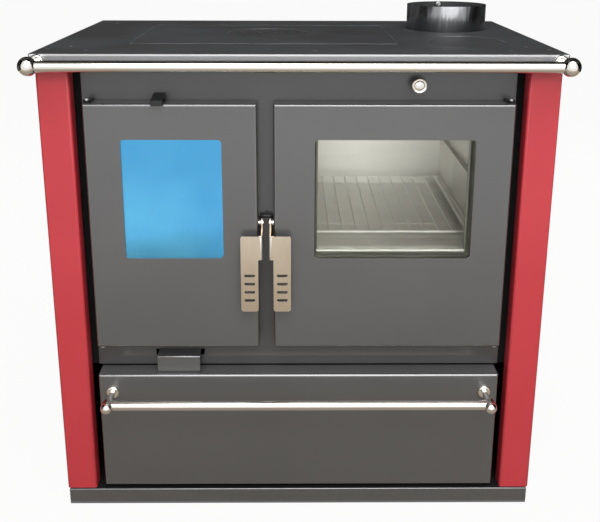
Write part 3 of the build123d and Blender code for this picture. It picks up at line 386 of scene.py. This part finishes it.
# %% [markdown]
# Steel shows how it was worked. Brushing and drawing leave lines that run one way, so a
# noise is stretched along that way. Cast iron and plating have an even grain. The lines
# also make the gloss uneven, which breaks up the reflections. Real lines are about a tenth
# of a millimetre apart. Here they are about ten times coarser, or they wouldn't show in
# the render.

# %% Steel and iron
STEEL_CLOUD_MM = 90
LINE_SHARE = 0.5
GLOSS_SPREAD = 0.08
SMOOTHEST = 0.02


def rubbed_metal(name, colour, shade, roughness, stretch, lines_mm, line_depth_mm,
                 metallic=1.0):
    """Metal with lines left by grinding or brushing along the longest stretch."""
    material, tree, output = start_material(name)
    place = add_node(tree, "ShaderNodeTexCoord").outputs["Object"]
    drawn = add_node(tree, "ShaderNodeMapping", Vector=place, Scale=stretch)
    lines = add_node(tree, "ShaderNodeTexNoise", Vector=drawn.outputs[0],
                     Scale=per_metre(lines_mm), Detail=2.0)
    cloud = add_node(tree, "ShaderNodeTexNoise", Vector=place,
                     Scale=per_metre(STEEL_CLOUD_MM), Detail=3.0)
    both = add_node(tree, "ShaderNodeMath", {"operation": "MULTIPLY_ADD"},
                    _0=lines.outputs["Fac"], _1=LINE_SHARE, _2=cloud.outputs["Fac"])
    tone = add_node(tree, "ShaderNodeMapRange", Value=both.outputs[0], From_Min=0.4,
                    From_Max=1.1)
    steel = add_node(tree, "ShaderNodeMix", {"data_type": "RGBA"}, Factor=tone.outputs[0])
    steel.inputs["A"].default_value = linear(shade)
    steel.inputs["B"].default_value = linear(colour)
    gloss = add_node(tree, "ShaderNodeMapRange", Value=lines.outputs["Fac"],
                     To_Min=max(roughness - GLOSS_SPREAD, SMOOTHEST),
                     To_Max=roughness + GLOSS_SPREAD)
    bump = add_node(tree, "ShaderNodeBump", Height=lines.outputs["Fac"], Strength=0.4,
                    Distance=line_depth_mm * MM)
    shader = add_node(tree, "ShaderNodeBsdfPrincipled", Base_Color=steel.outputs["Result"],
                      Metallic=metallic, Roughness=gloss.outputs[0], Normal=bump.outputs[0])
    tree.links.new(shader.outputs[0], output.inputs["Surface"])
    print("made", name)
    return material


# %% [markdown]
# Each metal is now one call: its colour and shade, its roughness, the way its lines run,
# and their spacing and depth in millimetres.

# %% The metal finishes
ALONG_X = (0.04, 1, 1)
ALONG_Z = (1, 1, 0.04)
EVEN = (1, 1, 1)
# Cast iron: grey and grainy, between matt and shiny.
cast_iron = rubbed_metal("cast_iron", "#8B9096", "#6E7378", 0.5, EVEN, 1.5, 0.25,
                         metallic=0.7)
# Brushed stainless steel: pale, with a broad soft shine. The window's frame is darker.
brushed_oven = rubbed_metal("brushed_oven", "#F6F4EF", "#E6E3DD", 0.4, ALONG_X, 1.4, 0.04)
reveal_steel = rubbed_metal("reveal_steel", "#A5A49F", "#949389", 0.3, ALONG_X, 1.4, 0.02)
# Polished stainless steel: nearly a mirror, with a warm tone.
polished_steel = rubbed_metal("polished_steel", "#DED0BD", "#C4B6A3", 0.16, ALONG_Z, 1.0,
                              0.01)
# Chrome: a clear mirror on turned pieces, and a little softer on the long drawn rails.
chrome_plate = rubbed_metal("chrome_plate", "#F0ECE6", "#E6E2DB", 0.08, EVEN, 4.0, 0.002)
chrome_rail = rubbed_metal("chrome_rail", "#F0ECE6", "#E3DED6", 0.12, ALONG_X, 2.0, 0.003)
# Bare drawn steel: grey, with bright streaks down its curve.
burnished_steel = rubbed_metal("burnished_steel", "#9B9C9E", "#8D8E91", 0.24, ALONG_Z, 1.2,
                               0.005)
# Zinc plating on screws and clips: pale, with a dull shine.
zinc_plate = rubbed_metal("zinc_plate", "#D6D7D9", "#C2C3C6", 0.35, EVEN, 1.0, 0.02)

# %% [markdown]
# The handles are stamped from polished sheet. Their cut edges and their fold are deburred
# with a wire brush, which leaves them paler and duller than the mirror-like face, so they
# catch light from every side. The painted sheet is folded too, and its folds get a lighter,
# glossier and more metallic copy of the paint: the gloss mirrors the lamp above, and the
# lighter colour is a painted highlight that brightens the thin lines. Faces and flanges
# all point along an axis of the part; only the rounded edges between them don't, and the
# normal finds them.

# %% Rounded edges and folds
# The longest part of a fold's normal is below the first, and that of a flat face above the
# second.
FOLD_BELOW, FLAT_ABOVE = 0.96, 0.995


def add_where(material, mask, top_shader):
    """Lays a second shader over a finished material where the mask is one."""
    tree = material.node_tree
    output = next(node for node in tree.nodes if node.type == "OUTPUT_MATERIAL")
    surface = output.inputs["Surface"]
    below = surface.links[0].from_socket
    mixed = add_node(tree, "ShaderNodeMixShader", _0=mask, _1=below, _2=top_shader)
    tree.links.new(mixed.outputs[0], surface)


def finish_folds(material, colour, metallic, roughness):
    """Gives the rounded edges of a material's parts a finish of their own."""
    tree = material.node_tree
    normal = add_node(tree, "ShaderNodeTexCoord").outputs["Normal"]
    sizes = add_node(tree, "ShaderNodeVectorMath", {"operation": "ABSOLUTE"}, _0=normal)
    along = add_node(tree, "ShaderNodeSeparateXYZ", Vector=sizes.outputs[0])
    longest = along.outputs["X"]
    for axis in "YZ":
        longest = add_node(tree, "ShaderNodeMath", {"operation": "MAXIMUM"}, _0=longest,
                           _1=along.outputs[axis]).outputs[0]
    fold = add_node(tree, "ShaderNodeMapRange", Value=longest, From_Min=FOLD_BELOW,
                    From_Max=FLAT_ABOVE, To_Min=1.0, To_Max=0.0)
    shader = add_node(tree, "ShaderNodeBsdfPrincipled", Base_Color=linear(colour),
                      Metallic=metallic, Roughness=roughness)
    add_where(material, fold.outputs[0], shader.outputs[0])
    print("folds of", material.name)


finish_folds(polished_steel, "#FBF7F0", metallic=1.0, roughness=0.5)
# Painted highlight on the paint's folds: a lighter colour, together with real extra gloss and
# metal.
finish_folds(anthracite_paint, "#868688", metallic=0.8, roughness=0.2)

# %% [markdown]
# The flue collar is drawn from bare steel outside, and its inside is given a matt
# near-black finish. Inside, the normal points back towards the collar's axis, so its
# product with the way outwards from the axis is below zero.

# %% Black inside of the collar
INSIDE_BELOW = -0.01
low, high = (Vector(corner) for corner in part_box("flue_collar"))
tree = burnished_steel.node_tree
coordinates = add_node(tree, "ShaderNodeTexCoord")
outward = add_node(tree, "ShaderNodeVectorMath", {"operation": "SUBTRACT"},
                   _0=coordinates.outputs["Object"], _1=(low + high) / 2)
flat_outward = add_node(tree, "ShaderNodeVectorMath", {"operation": "MULTIPLY"},
                        _0=outward.outputs[0], _1=(1, 1, 0))
facing = add_node(tree, "ShaderNodeVectorMath", {"operation": "DOT_PRODUCT"},
                  _0=flat_outward.outputs[0], _1=coordinates.outputs["Normal"])
inside = add_node(tree, "ShaderNodeMath", {"operation": "LESS_THAN"},
                  _0=facing.outputs["Value"], _1=INSIDE_BELOW)
# matt near-black finish for the collar's inner wall
near_black_inside = add_node(tree, "ShaderNodeBsdfPrincipled", Base_Color=linear("#2C2D2E"), Roughness=0.7)
add_where(burnished_steel, inside.outputs[0], near_black_inside.outputs[0])
print("collar centre", tuple(round(part, 3) for part in (low + high) / 2))

# %% [markdown]
# The cooktop is thick plate. Its faces are blued and oiled until they are nearly black,
# with slow clouds from the oil and faint lines from the grinding, drawn coarser than they
# are. The edges come next.

# %% Blued faces of the cooktop
HOB_CLOUD_MM = 120
HOB_LINES_MM = 1.2
HOB_LINE_DEPTH_MM = 0.02
blued_plate, tree, output = start_material("blued_plate")
coordinates = add_node(tree, "ShaderNodeTexCoord")
place = coordinates.outputs["Object"]
cloud = add_node(tree, "ShaderNodeTexNoise", Vector=place, Scale=per_metre(HOB_CLOUD_MM),
                 Detail=4.0)
drawn = add_node(tree, "ShaderNodeMapping", Vector=place, Scale=ALONG_X)
lines = add_node(tree, "ShaderNodeTexNoise", Vector=drawn.outputs[0],
                 Scale=per_metre(HOB_LINES_MM), Detail=2.0)
oiled = add_node(tree, "ShaderNodeValToRGB", Fac=cloud.outputs["Fac"])
set_stops(oiled, {0.3: "#3B3B3C", 0.7: "#47494B"})
bump = add_node(tree, "ShaderNodeBump", Height=lines.outputs["Fac"], Strength=0.4,
                Distance=HOB_LINE_DEPTH_MM * MM)
face = add_node(tree, "ShaderNodeBsdfPrincipled", Base_Color=oiled.outputs["Color"],
                Roughness=0.5, Normal=bump.outputs[0])
face.inputs["Specular IOR Level"].default_value = 0.25
tree.links.new(face.outputs[0], output.inputs["Surface"])
print("made", blued_plate.name)

# %% [markdown]
# The plate's sawn and milled edges stay bare, so each edge and gap draws a bright line.
# They could have a material of their own, but each imported mesh keeps a single material. So
# the object-space normal tells edges from faces, since every face of the cooktop lies level.
# The top few millimetres of each edge are drawn in a paler steel: a painted highlight for the
# bright line along the edge's rounded top.

# %% Bare edges of the cooktop
HOB_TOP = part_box("hob_plate")[1][2]
HIGHLIGHT_FROM_MM, HIGHLIGHT_FULLY_MM = 3.2, 2.2  # below the top
TILTED_BELOW, LEVEL_ABOVE = 0.92, 0.98
facing = add_node(tree, "ShaderNodeSeparateXYZ", Vector=coordinates.outputs["Normal"])
level = add_node(tree, "ShaderNodeMath", {"operation": "ABSOLUTE"}, _0=facing.outputs["Z"])
bare = add_node(tree, "ShaderNodeMapRange", Value=level.outputs[0], From_Min=TILTED_BELOW,
                From_Max=LEVEL_ABOVE, To_Min=1.0, To_Max=0.0)
height = add_node(tree, "ShaderNodeSeparateXYZ", Vector=place).outputs["Z"]
# painted highlight: the bare edge's steel turns paler in a band just below the top
painted_highlight = add_node(tree, "ShaderNodeMapRange", Value=height,
                  From_Min=HOB_TOP - HIGHLIGHT_FROM_MM * MM,
                  From_Max=HOB_TOP - HIGHLIGHT_FULLY_MM * MM)
steel = add_node(tree, "ShaderNodeMix", {"data_type": "RGBA"}, Factor=painted_highlight.outputs[0])
steel.inputs["A"].default_value = linear("#9B9C9F")
steel.inputs["B"].default_value = linear("#D9DADD")
edge = add_node(tree, "ShaderNodeBsdfPrincipled", Base_Color=steel.outputs["Result"],
                Metallic=0.8, Roughness=0.35, Normal=bump.outputs[0])
add_where(blued_plate, bare.outputs[0], edge.outputs[0])
print("cooktop's top at", round(HOB_TOP, 4), "m")

# %% [markdown]
# Firebricks are pressed from coarse fireclay: matt, brown to ochre in patches, with grit
# that leaves small pits. A noise gives the patches, and Voronoi cells give the grit.

# %% Fireclay
CLAY_CLOUD_MM = 45
GRIT_MM = 3.5
GRIT_SHARE = 0.5
PIT_DEPTH_MM = 0.6
fireclay, tree, output = start_material("fireclay")
place = add_node(tree, "ShaderNodeTexCoord").outputs["Object"]
cloud = add_node(tree, "ShaderNodeTexNoise", Vector=place, Scale=per_metre(CLAY_CLOUD_MM),
                 Detail=5.0, Roughness=0.65)
grit = add_node(tree, "ShaderNodeTexVoronoi", Vector=place, Scale=per_metre(GRIT_MM))
clay = add_node(tree, "ShaderNodeValToRGB", Fac=cloud.outputs["Fac"])
set_stops(clay, {0.3: "#9A5F2C", 0.7: "#D8924A"})
pits = add_node(tree, "ShaderNodeMath", {"operation": "MULTIPLY_ADD"},
                _0=grit.outputs["Distance"], _1=GRIT_SHARE, _2=cloud.outputs["Fac"])
bump = add_node(tree, "ShaderNodeBump", Height=pits.outputs[0], Strength=0.7,
                Distance=PIT_DEPTH_MM * MM)
shader = add_node(tree, "ShaderNodeBsdfPrincipled", Base_Color=clay.outputs["Color"],
                  Roughness=0.9, Normal=bump.outputs[0])
tree.links.new(shader.outputs[0], output.inputs["Surface"])
print("made", fireclay.name)

# %% [markdown]
# ## Glass
#
# The oven has a plain pane. The firebox has ceramic glass with a coating that throws the
# heat back: it mirrors blue and still lets the bricks and the fire show through.

# %% Panes
OVEN_CLEAR_SHARE = 0.9
COATED_CLEAR_SHARE = 0.28
HAZE_MM = 140
oven_pane, tree, output = start_material("oven_pane")
shader = add_node(tree, "ShaderNodeBsdfPrincipled", Base_Color=linear("#F4F7F6"),
                  Roughness=0.02, IOR=1.5)
shader.inputs["Transmission Weight"].default_value = 1.0
clear = add_node(tree, "ShaderNodeBsdfTransparent", Color=linear("#FBFCFB"))
mixed = add_node(tree, "ShaderNodeMixShader", _0=OVEN_CLEAR_SHARE, _1=shader.outputs[0],
                 _2=clear.outputs[0])
tree.links.new(mixed.outputs[0], output.inputs["Surface"])

coated_pane, tree, output = start_material("coated_pane")
place = add_node(tree, "ShaderNodeTexCoord").outputs["Object"]
haze = add_node(tree, "ShaderNodeTexNoise", Vector=place, Scale=per_metre(HAZE_MM),
                Detail=2.0)
tint = add_node(tree, "ShaderNodeValToRGB", Fac=haze.outputs["Fac"])
set_stops(tint, {0.35: "#61BFF5", 0.65: "#72D2FF"})
shine = add_node(tree, "ShaderNodeBsdfGlossy", Color=tint.outputs["Color"], Roughness=0.06)
clear = add_node(tree, "ShaderNodeBsdfTransparent", Color=linear("#E8F2F8"))
mixed = add_node(tree, "ShaderNodeMixShader", _0=COATED_CLEAR_SHARE, _1=shine.outputs[0],
                 _2=clear.outputs[0])
tree.links.new(mixed.outputs[0], output.inputs["Surface"])
print("made", oven_pane.name, "and", coated_pane.name)

# %% [markdown]
# The doors seal with braided glass rope: off-white, matt and soft. Its plait shows as
# slanting bands, which a wave pattern gives. Strands would be real geometry, but aren't
# worth their faces here, because the doors hide most of the rope.

# %% Rope seal
BRAID_MM = 18
BRAID_DEPTH_MM = 0.5
rope, tree, output = start_material("glass_rope")
place = add_node(tree, "ShaderNodeTexCoord").outputs["Object"]
braid = add_node(tree, "ShaderNodeTexWave", {"bands_direction": "DIAGONAL"}, Vector=place,
                 Scale=per_metre(BRAID_MM), Distortion=1.5)
bump = add_node(tree, "ShaderNodeBump", Height=braid.outputs["Fac"], Strength=0.8,
                Distance=BRAID_DEPTH_MM * MM)
shader = add_node(tree, "ShaderNodeBsdfPrincipled", Base_Color=linear("#BDB9AE"),
                  Roughness=0.9, Normal=bump.outputs[0])
tree.links.new(shader.outputs[0], output.inputs["Surface"])
print("made", rope.name)

# %% [markdown]
# ## Dress the steel parts
#
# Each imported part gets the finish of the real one.

# %% Finish of each part
FINISHES = {
    red_enamel: ["left_side_panel", "right_side_panel"],
    anthracite_paint: ["firebox_door_panel", "oven_door_panel", "drawer_front", "plinth",
                       "rear_panel", "primary_air_tab"],
    # painted shade: the recessed panel and the rim get the darker copy of the paint
    anthracite_painted_shade: ["front_panel", "hob_rim_frame"],
    black_paint: ["secondary_air_tab", "hinge_brackets", "latch_keeper"],
    burnished_steel: ["flue_collar"],
    black_heatproof: ["inner_front_wall", "inner_left_wall", "inner_right_wall",
                      "inner_rear_wall", "middle_shelf", "firebox_side_walls", "ash_floor",
                      "grate_support", "smoke_baffle", "insert_support", "damper_plate",
                      "drawer_box", "drawer_runners", "ash_pan", "base_plate"],
    blued_plate: ["hob_plate", "hob_insert"],
    oiled_iron: ["ring_lid", "access_lid"],
    cast_iron: ["firebox_grate"],
    brushed_oven: ["oven_box", "oven_runners", "oven_rack", "oven_door_liner",
                   "firebox_door_liner"],
    fireclay: ["side_firebricks", "rear_firebricks"],
    polished_steel: ["firebox_door_handle", "oven_door_handle"],
    chrome_rail: ["top_rail", "drawer_rail"],
    chrome_plate: ["top_rail_ends", "drawer_rail_ends"],
    zinc_plate: ["rear_panel_screws", "collar_screw", "hinge_pins", "firebox_glass_clips",
                 "oven_glass_clips"],
    oven_pane: ["oven_glass"],
    coated_pane: ["firebox_glass"],
    rope: ["firebox_door_seal", "oven_door_seal"],
}
for material, names in FINISHES.items():
    for name in names:
        mesh = nodes[name].data
        mesh.materials.clear()
        mesh.materials.append(material)
print("parts finished", sum(map(len, FINISHES.values())))

# %% [markdown]
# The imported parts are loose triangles, so a Weld modifier joins them and a narrow Bevel
# rounds their cut edges: guillotined sheet never ends in a sharp corner, and the thin
# bright line on such an edge comes from that rounding. The doors and the drawer front have
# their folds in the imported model, and go without it.

# %% Rounded edges
EDGE_ROUNDING_MM = {
    0.4: ["primary_air_tab", "secondary_air_tab", "hinge_brackets", "oven_box",
          "latch_keeper", "flue_collar"],
    0.8: ["left_side_panel", "right_side_panel", "hob_plate", "hob_insert", "ring_lid",
          "access_lid"],
    1.2: ["firebox_door_handle", "oven_door_handle"],
    1.5: ["plinth", "firebox_grate", "side_firebricks", "rear_firebricks"],
}
EDGE_ANGLE_DEG = 40
EDGE_SEGMENTS = 2
for width, names in EDGE_ROUNDING_MM.items():
    for name in names:
        weld = nodes[name].modifiers.new("join_triangles", "WELD")
        weld.merge_threshold = SAME_POINT
        bevel = nodes[name].modifiers.new("round_edges", "BEVEL")
        bevel.width = width * MM
        bevel.segments = EDGE_SEGMENTS
        bevel.limit_method = "ANGLE"
        bevel.angle_limit = math.radians(EDGE_ANGLE_DEG)
        bevel.harden_normals = True
print("parts with rounded edges", sum(map(len, EDGE_ROUNDING_MM.values())))

# %% [markdown]
# ## Small turned and drilled pieces
#
# The damper knob, the cooktop's screws and the handles' pins are lathe work. Their half
# profile is drawn once, from the axis outwards, and `spin` turns it like a lathe does.
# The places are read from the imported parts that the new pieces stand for.


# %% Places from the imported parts
def solids_of(name):
    """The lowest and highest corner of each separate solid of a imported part, in metres."""
    shape = bmesh.new()
    shape.from_mesh(nodes[name].data)
    bmesh.ops.remove_doubles(shape, verts=shape.verts, dist=SAME_POINT)
    waiting = set(shape.verts)
    boxes = []
    while waiting:
        reached = [waiting.pop()]
        for corner in reached:
            for line in corner.link_edges:
                other = line.other_vert(corner)
                if other in waiting:
                    waiting.remove(other)
                    reached.append(other)
        low = Vector([min(corner.co[i] for corner in reached) for i in range(3)])
        high = Vector([max(corner.co[i] for corner in reached) for i in range(3)])
        boxes.append((low, high))
    shape.free()
    return sorted(boxes, key=lambda pair: tuple(pair[0]))


# %% [markdown]
# Every new piece is closed, its faces are turned outwards, and it rides on the body that
# carries it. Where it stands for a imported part, that part is hidden.

# %% Turning and finishing a piece
SMOOTH_UP_TO_DEG = 30


def turned(shape, profile, origin, axis, steps=32):
    """Spins (radius, length) points in millimetres about an axis that starts at origin."""
    older = set(shape.verts)
    corners = [shape.verts.new((radius * MM, 0, length * MM)) for radius, length in profile]
    lines = [shape.edges.new(pair) for pair in zip(corners, corners[1:])]
    bmesh.ops.spin(shape, geom=corners + lines, cent=(0, 0, 0), axis=(0, 0, 1),
                   angle=2 * math.pi, steps=steps, use_merge=True)
    new = [corner for corner in shape.verts if corner not in older]
    turn = Vector((0, 0, 1)).rotation_difference(Vector(axis)).to_matrix().to_4x4()
    bmesh.ops.transform(shape, verts=new, matrix=Matrix.Translation(origin) @ turn)


def finish_piece(shape, name, body, material, replaced=()):
    """Closes a new shape, turns its faces outwards and lets it ride on its body."""
    bmesh.ops.remove_doubles(shape, verts=shape.verts, dist=SAME_POINT)
    bmesh.ops.recalc_face_normals(shape, faces=shape.faces)
    mesh = bpy.data.meshes.new(name)
    shape.to_mesh(mesh)
    shape.free()
    mesh.materials.append(material)
    mesh.shade_smooth()
    mesh.set_sharp_from_angle(angle=math.radians(SMOOTH_UP_TO_DEG))
    piece = bpy.data.objects.new(name, mesh)
    bpy.context.collection.objects.link(piece)
    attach(piece, body)
    if replaced:
        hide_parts(*replaced)
    print(name, len(mesh.polygons), "faces")


# %% [markdown]
# The damper knob is a chromed disc with a raised rim, a groove and a domed middle. Its
# neck reaches back to the rod. It could be stacked from plain discs, but a turned profile
# gives the soft edges that catch the light.

# %% The damper knob
KNOB_DISC_BACK_MM = 19.4
KNOB_MM = [(0, 7.6), (2.5, 7.5), (4.5, 7.2), (6.2, 6.75), (7.4, 6.2), (8, 5.6), (8.2, 4.8),
           (8.2, 3.2), (9.3, 3.2), (9.4, 5.4), (9.8, 5.9), (10.6, 6.1), (11.3, 5.7),
           (11.7, 4.8), (11.7, 0.8), (11, 0), (5.2, 0), (5, -0.4), (5, -KNOB_DISC_BACK_MM),
           (0, -KNOB_DISC_BACK_MM)]
KNOB_STEPS = 48
TOWARDS_FRONT = (0, -1, 0)
low, high = solids_of("damper_knob")[0]
disc_back = Vector(((low.x + high.x) / 2, high.y - KNOB_DISC_BACK_MM * MM,
                    (low.z + high.z) / 2))
shape = bmesh.new()
turned(shape, KNOB_MM, disc_back, TOWARDS_FRONT, steps=KNOB_STEPS)
finish_piece(shape, "turned_damper_knob", "damper", chrome_plate, ["damper_knob"])

# %% [markdown]
# Each cooktop screw is a countersunk one with a hexagon socket. The lathe leaves its head
# open, a six-sided ring is bridged to it, and the ring's edges are pushed down and closed.

# %% The cooktop's screws
SCREW_MM = [(2.3, 0), (3.2, 0), (3.5, -0.25), (3.5, -0.4), (2.0, -2), (2.0, -14), (0, -14)]
SOCKET_SIDES = 6
SOCKET_ACROSS_MM = 3.6
SOCKET_DEPTH_MM = 1.6
UPWARDS = (0, 0, 1)


def open_edges(shape):
    """The edges with only one face, which bound a hole in the surface."""
    return [edge for edge in shape.edges if len(edge.link_faces) == 1]


def hexagon_socket(shape, top):
    """Bridges the open head to a hexagon and sinks the hexagon into it."""
    rim = open_edges(shape)
    ring = bmesh.ops.create_circle(shape, cap_ends=False, segments=SOCKET_SIDES,
                                   radius=SOCKET_ACROSS_MM / 2 * MM,
                                   matrix=Matrix.Translation(top))
    sides = list({edge for corner in ring["verts"] for edge in corner.link_edges})
    bmesh.ops.bridge_loops(shape, edges=rim + sides)
    pushed = bmesh.ops.extrude_edge_only(shape, edges=sides)["geom"]
    corners = [item for item in pushed if isinstance(item, bmesh.types.BMVert)]
    bmesh.ops.translate(shape, verts=corners, vec=(0, 0, -SOCKET_DEPTH_MM * MM))
    bmesh.ops.contextual_create(shape, geom=open_edges(shape))


shape = bmesh.new()
for low, high in solids_of("hob_screws"):
    top = Vector(((low.x + high.x) / 2, (low.y + high.y) / 2, high.z))
    turned(shape, SCREW_MM, top, UPWARDS)
    hexagon_socket(shape, top)
finish_piece(shape, "cooktop_screws", "stove", zinc_plate, ["hob_screws"])

# %% [markdown]
# A handle hangs on a pin with a bush. The pin's two ends are domed by the riveting hammer,
# so each catches a small bright spot. The two pins are mirror images.

# %% The handles' pins
PIN_MM = [(0, 0), (2.4, 0.2), (3.6, 0.9), (4.0, 1.9), (4.0, 2.0), (2.5, 2.0), (2.5, 4.5),
          (3.6, 4.5), (4.5, 5.2), (4.5, 8.4), (3.9, 9.0), (2.5, 9.1), (2.5, 11.8),
          (4.0, 11.8), (3.9, 12.5), (2.9, 13.4), (1.4, 13.8), (0, 13.8)]
PIN_STEPS = 28
PIN_WAYS = {"firebox": 1, "oven": -1}  # along X, from the pin's first end
for door, way in PIN_WAYS.items():
    low, high = solids_of(door + "_latch_pin")[0]
    start = Vector((low.x if way > 0 else high.x, (low.y + high.y) / 2,
                    (low.z + high.z) / 2))
    shape = bmesh.new()
    turned(shape, PIN_MM, start, (way, 0, 0), steps=PIN_STEPS)
    finish_piece(shape, door + "_riveted_pin", door + "_door",
                 chrome_plate, [door + "_latch_pin"])

# %% [markdown]
# ## Window reveals
#
# Behind each pane a pressed frame lines the window through the depth of the door. Seen
# from above, its floor is dark near the pane and its rear lip turns up and shines. It
# starts as one flat face with rounded corners. The face is pushed back step by step and
# drawn in at the lip, and then the face is taken away and the sheet gets its thickness.

# %% Window reveals
REVEAL_START_MM = 7.3  # behind the door's face
# how far the face is drawn in and pushed back, in turn
REVEAL_STEPS_MM = [(0.1, 14.5), (0.5, 3.5), (1.0, 2.4), (1.4, 1.4), (1.2, 0.4), (0.3, -0.3)]
REVEAL_SHEET_MM = 1.0
WINDOW_RADIUS_MM = 6.0
WINDOW_CORNER_SEGMENTS = 6
GLASS_OVERLAP_MM = 12.0
FACE_Y = min(corner.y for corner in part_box("oven_door_panel"))
UPRIGHT = Matrix.Rotation(math.radians(90), 3, "X")


def window_reveal(door, material):
    """A pressed frame from behind the pane of a door to its lining."""
    low, high = (Vector(corner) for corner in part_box(door + "_glass"))
    width = high.x - low.x - 2 * GLASS_OVERLAP_MM * MM
    height = high.z - low.z - 2 * GLASS_OVERLAP_MM * MM
    centre = ((low.x + high.x) / 2, FACE_Y + REVEAL_START_MM * MM, (low.z + high.z) / 2)
    shape = bmesh.new()
    bmesh.ops.create_grid(shape, x_segments=1, y_segments=1, size=0.5)
    bmesh.ops.scale(shape, verts=shape.verts, vec=(width, height, 1))
    bmesh.ops.rotate(shape, verts=shape.verts, cent=(0, 0, 0), matrix=UPRIGHT)
    bmesh.ops.translate(shape, verts=shape.verts, vec=centre)
    bmesh.ops.bevel(shape, geom=shape.verts[:], offset=WINDOW_RADIUS_MM * MM,
                    segments=WINDOW_CORNER_SEGMENTS, affect="VERTICES", profile=0.5,
                    material=-1)
    pane = max(shape.faces, key=lambda face: face.calc_area())
    for drawn_in, pushed_back in REVEAL_STEPS_MM:
        bmesh.ops.inset_region(shape, faces=[pane], thickness=drawn_in * MM,
                               use_boundary=True, use_even_offset=True)
        bmesh.ops.translate(shape, verts=pane.verts, vec=(0, pushed_back * MM, 0))
    bmesh.ops.delete(shape, geom=[pane], context="FACES_ONLY")
    bmesh.ops.solidify(shape, geom=shape.faces[:], thickness=REVEAL_SHEET_MM * MM)
    finish_piece(shape, door + "_window_reveal", door + "_door", material)


window_reveal("oven", reveal_steel)
window_reveal("firebox", black_heatproof)

# %% [markdown]
# ## Relief of the round lid
#
# The round lid is cast with a plain relief in its middle: short raised bars that fan out
# from the centre, which also stiffen it against warping. Each bar is one flat face that is
# raised, rounded along its top and then turned to its place round the centre.

# %% Relief of the round lid
BAR_COUNT = 12
BAR_INNER_MM = 7.0
BAR_LENGTH_MM = 9.0
BAR_WIDTH_MM = 1.8
BAR_HEIGHT_MM = 0.9
BAR_EDGE_SEGMENTS = 2
low, high = (Vector(corner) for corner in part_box("ring_lid"))
lid_centre = Vector(((low.x + high.x) / 2, (low.y + high.y) / 2, high.z))
shape = bmesh.new()
for step in range(BAR_COUNT):
    older = set(shape.verts)
    bar = bmesh.ops.create_grid(shape, x_segments=1, y_segments=1, size=0.5)["verts"]
    bmesh.ops.scale(shape, verts=bar, vec=(BAR_LENGTH_MM * MM, BAR_WIDTH_MM * MM, 1))
    bmesh.ops.translate(shape, verts=bar,
                        vec=((BAR_INNER_MM + BAR_LENGTH_MM / 2) * MM, 0, 0))
    raised = bmesh.ops.extrude_face_region(shape, geom=[bar[0].link_faces[0]])["geom"]
    top = [item for item in raised if isinstance(item, bmesh.types.BMVert)]
    bmesh.ops.translate(shape, verts=top, vec=(0, 0, BAR_HEIGHT_MM * MM))
    crown = [edge for edge in {line for corner in top for line in corner.link_edges}
             if all(corner in top for corner in edge.verts)]
    bmesh.ops.bevel(shape, geom=crown, offset=BAR_HEIGHT_MM / 2 * MM,
                    segments=BAR_EDGE_SEGMENTS, affect="EDGES", profile=0.5, material=-1)
    turn = Matrix.Rotation(2 * math.pi * step / BAR_COUNT, 4, "Z")
    bmesh.ops.transform(shape, verts=[item for item in shape.verts if item not in older],
                        matrix=Matrix.Translation(lid_centre) @ turn)
finish_piece(shape, "lid_relief", "ring", oiled_iron)
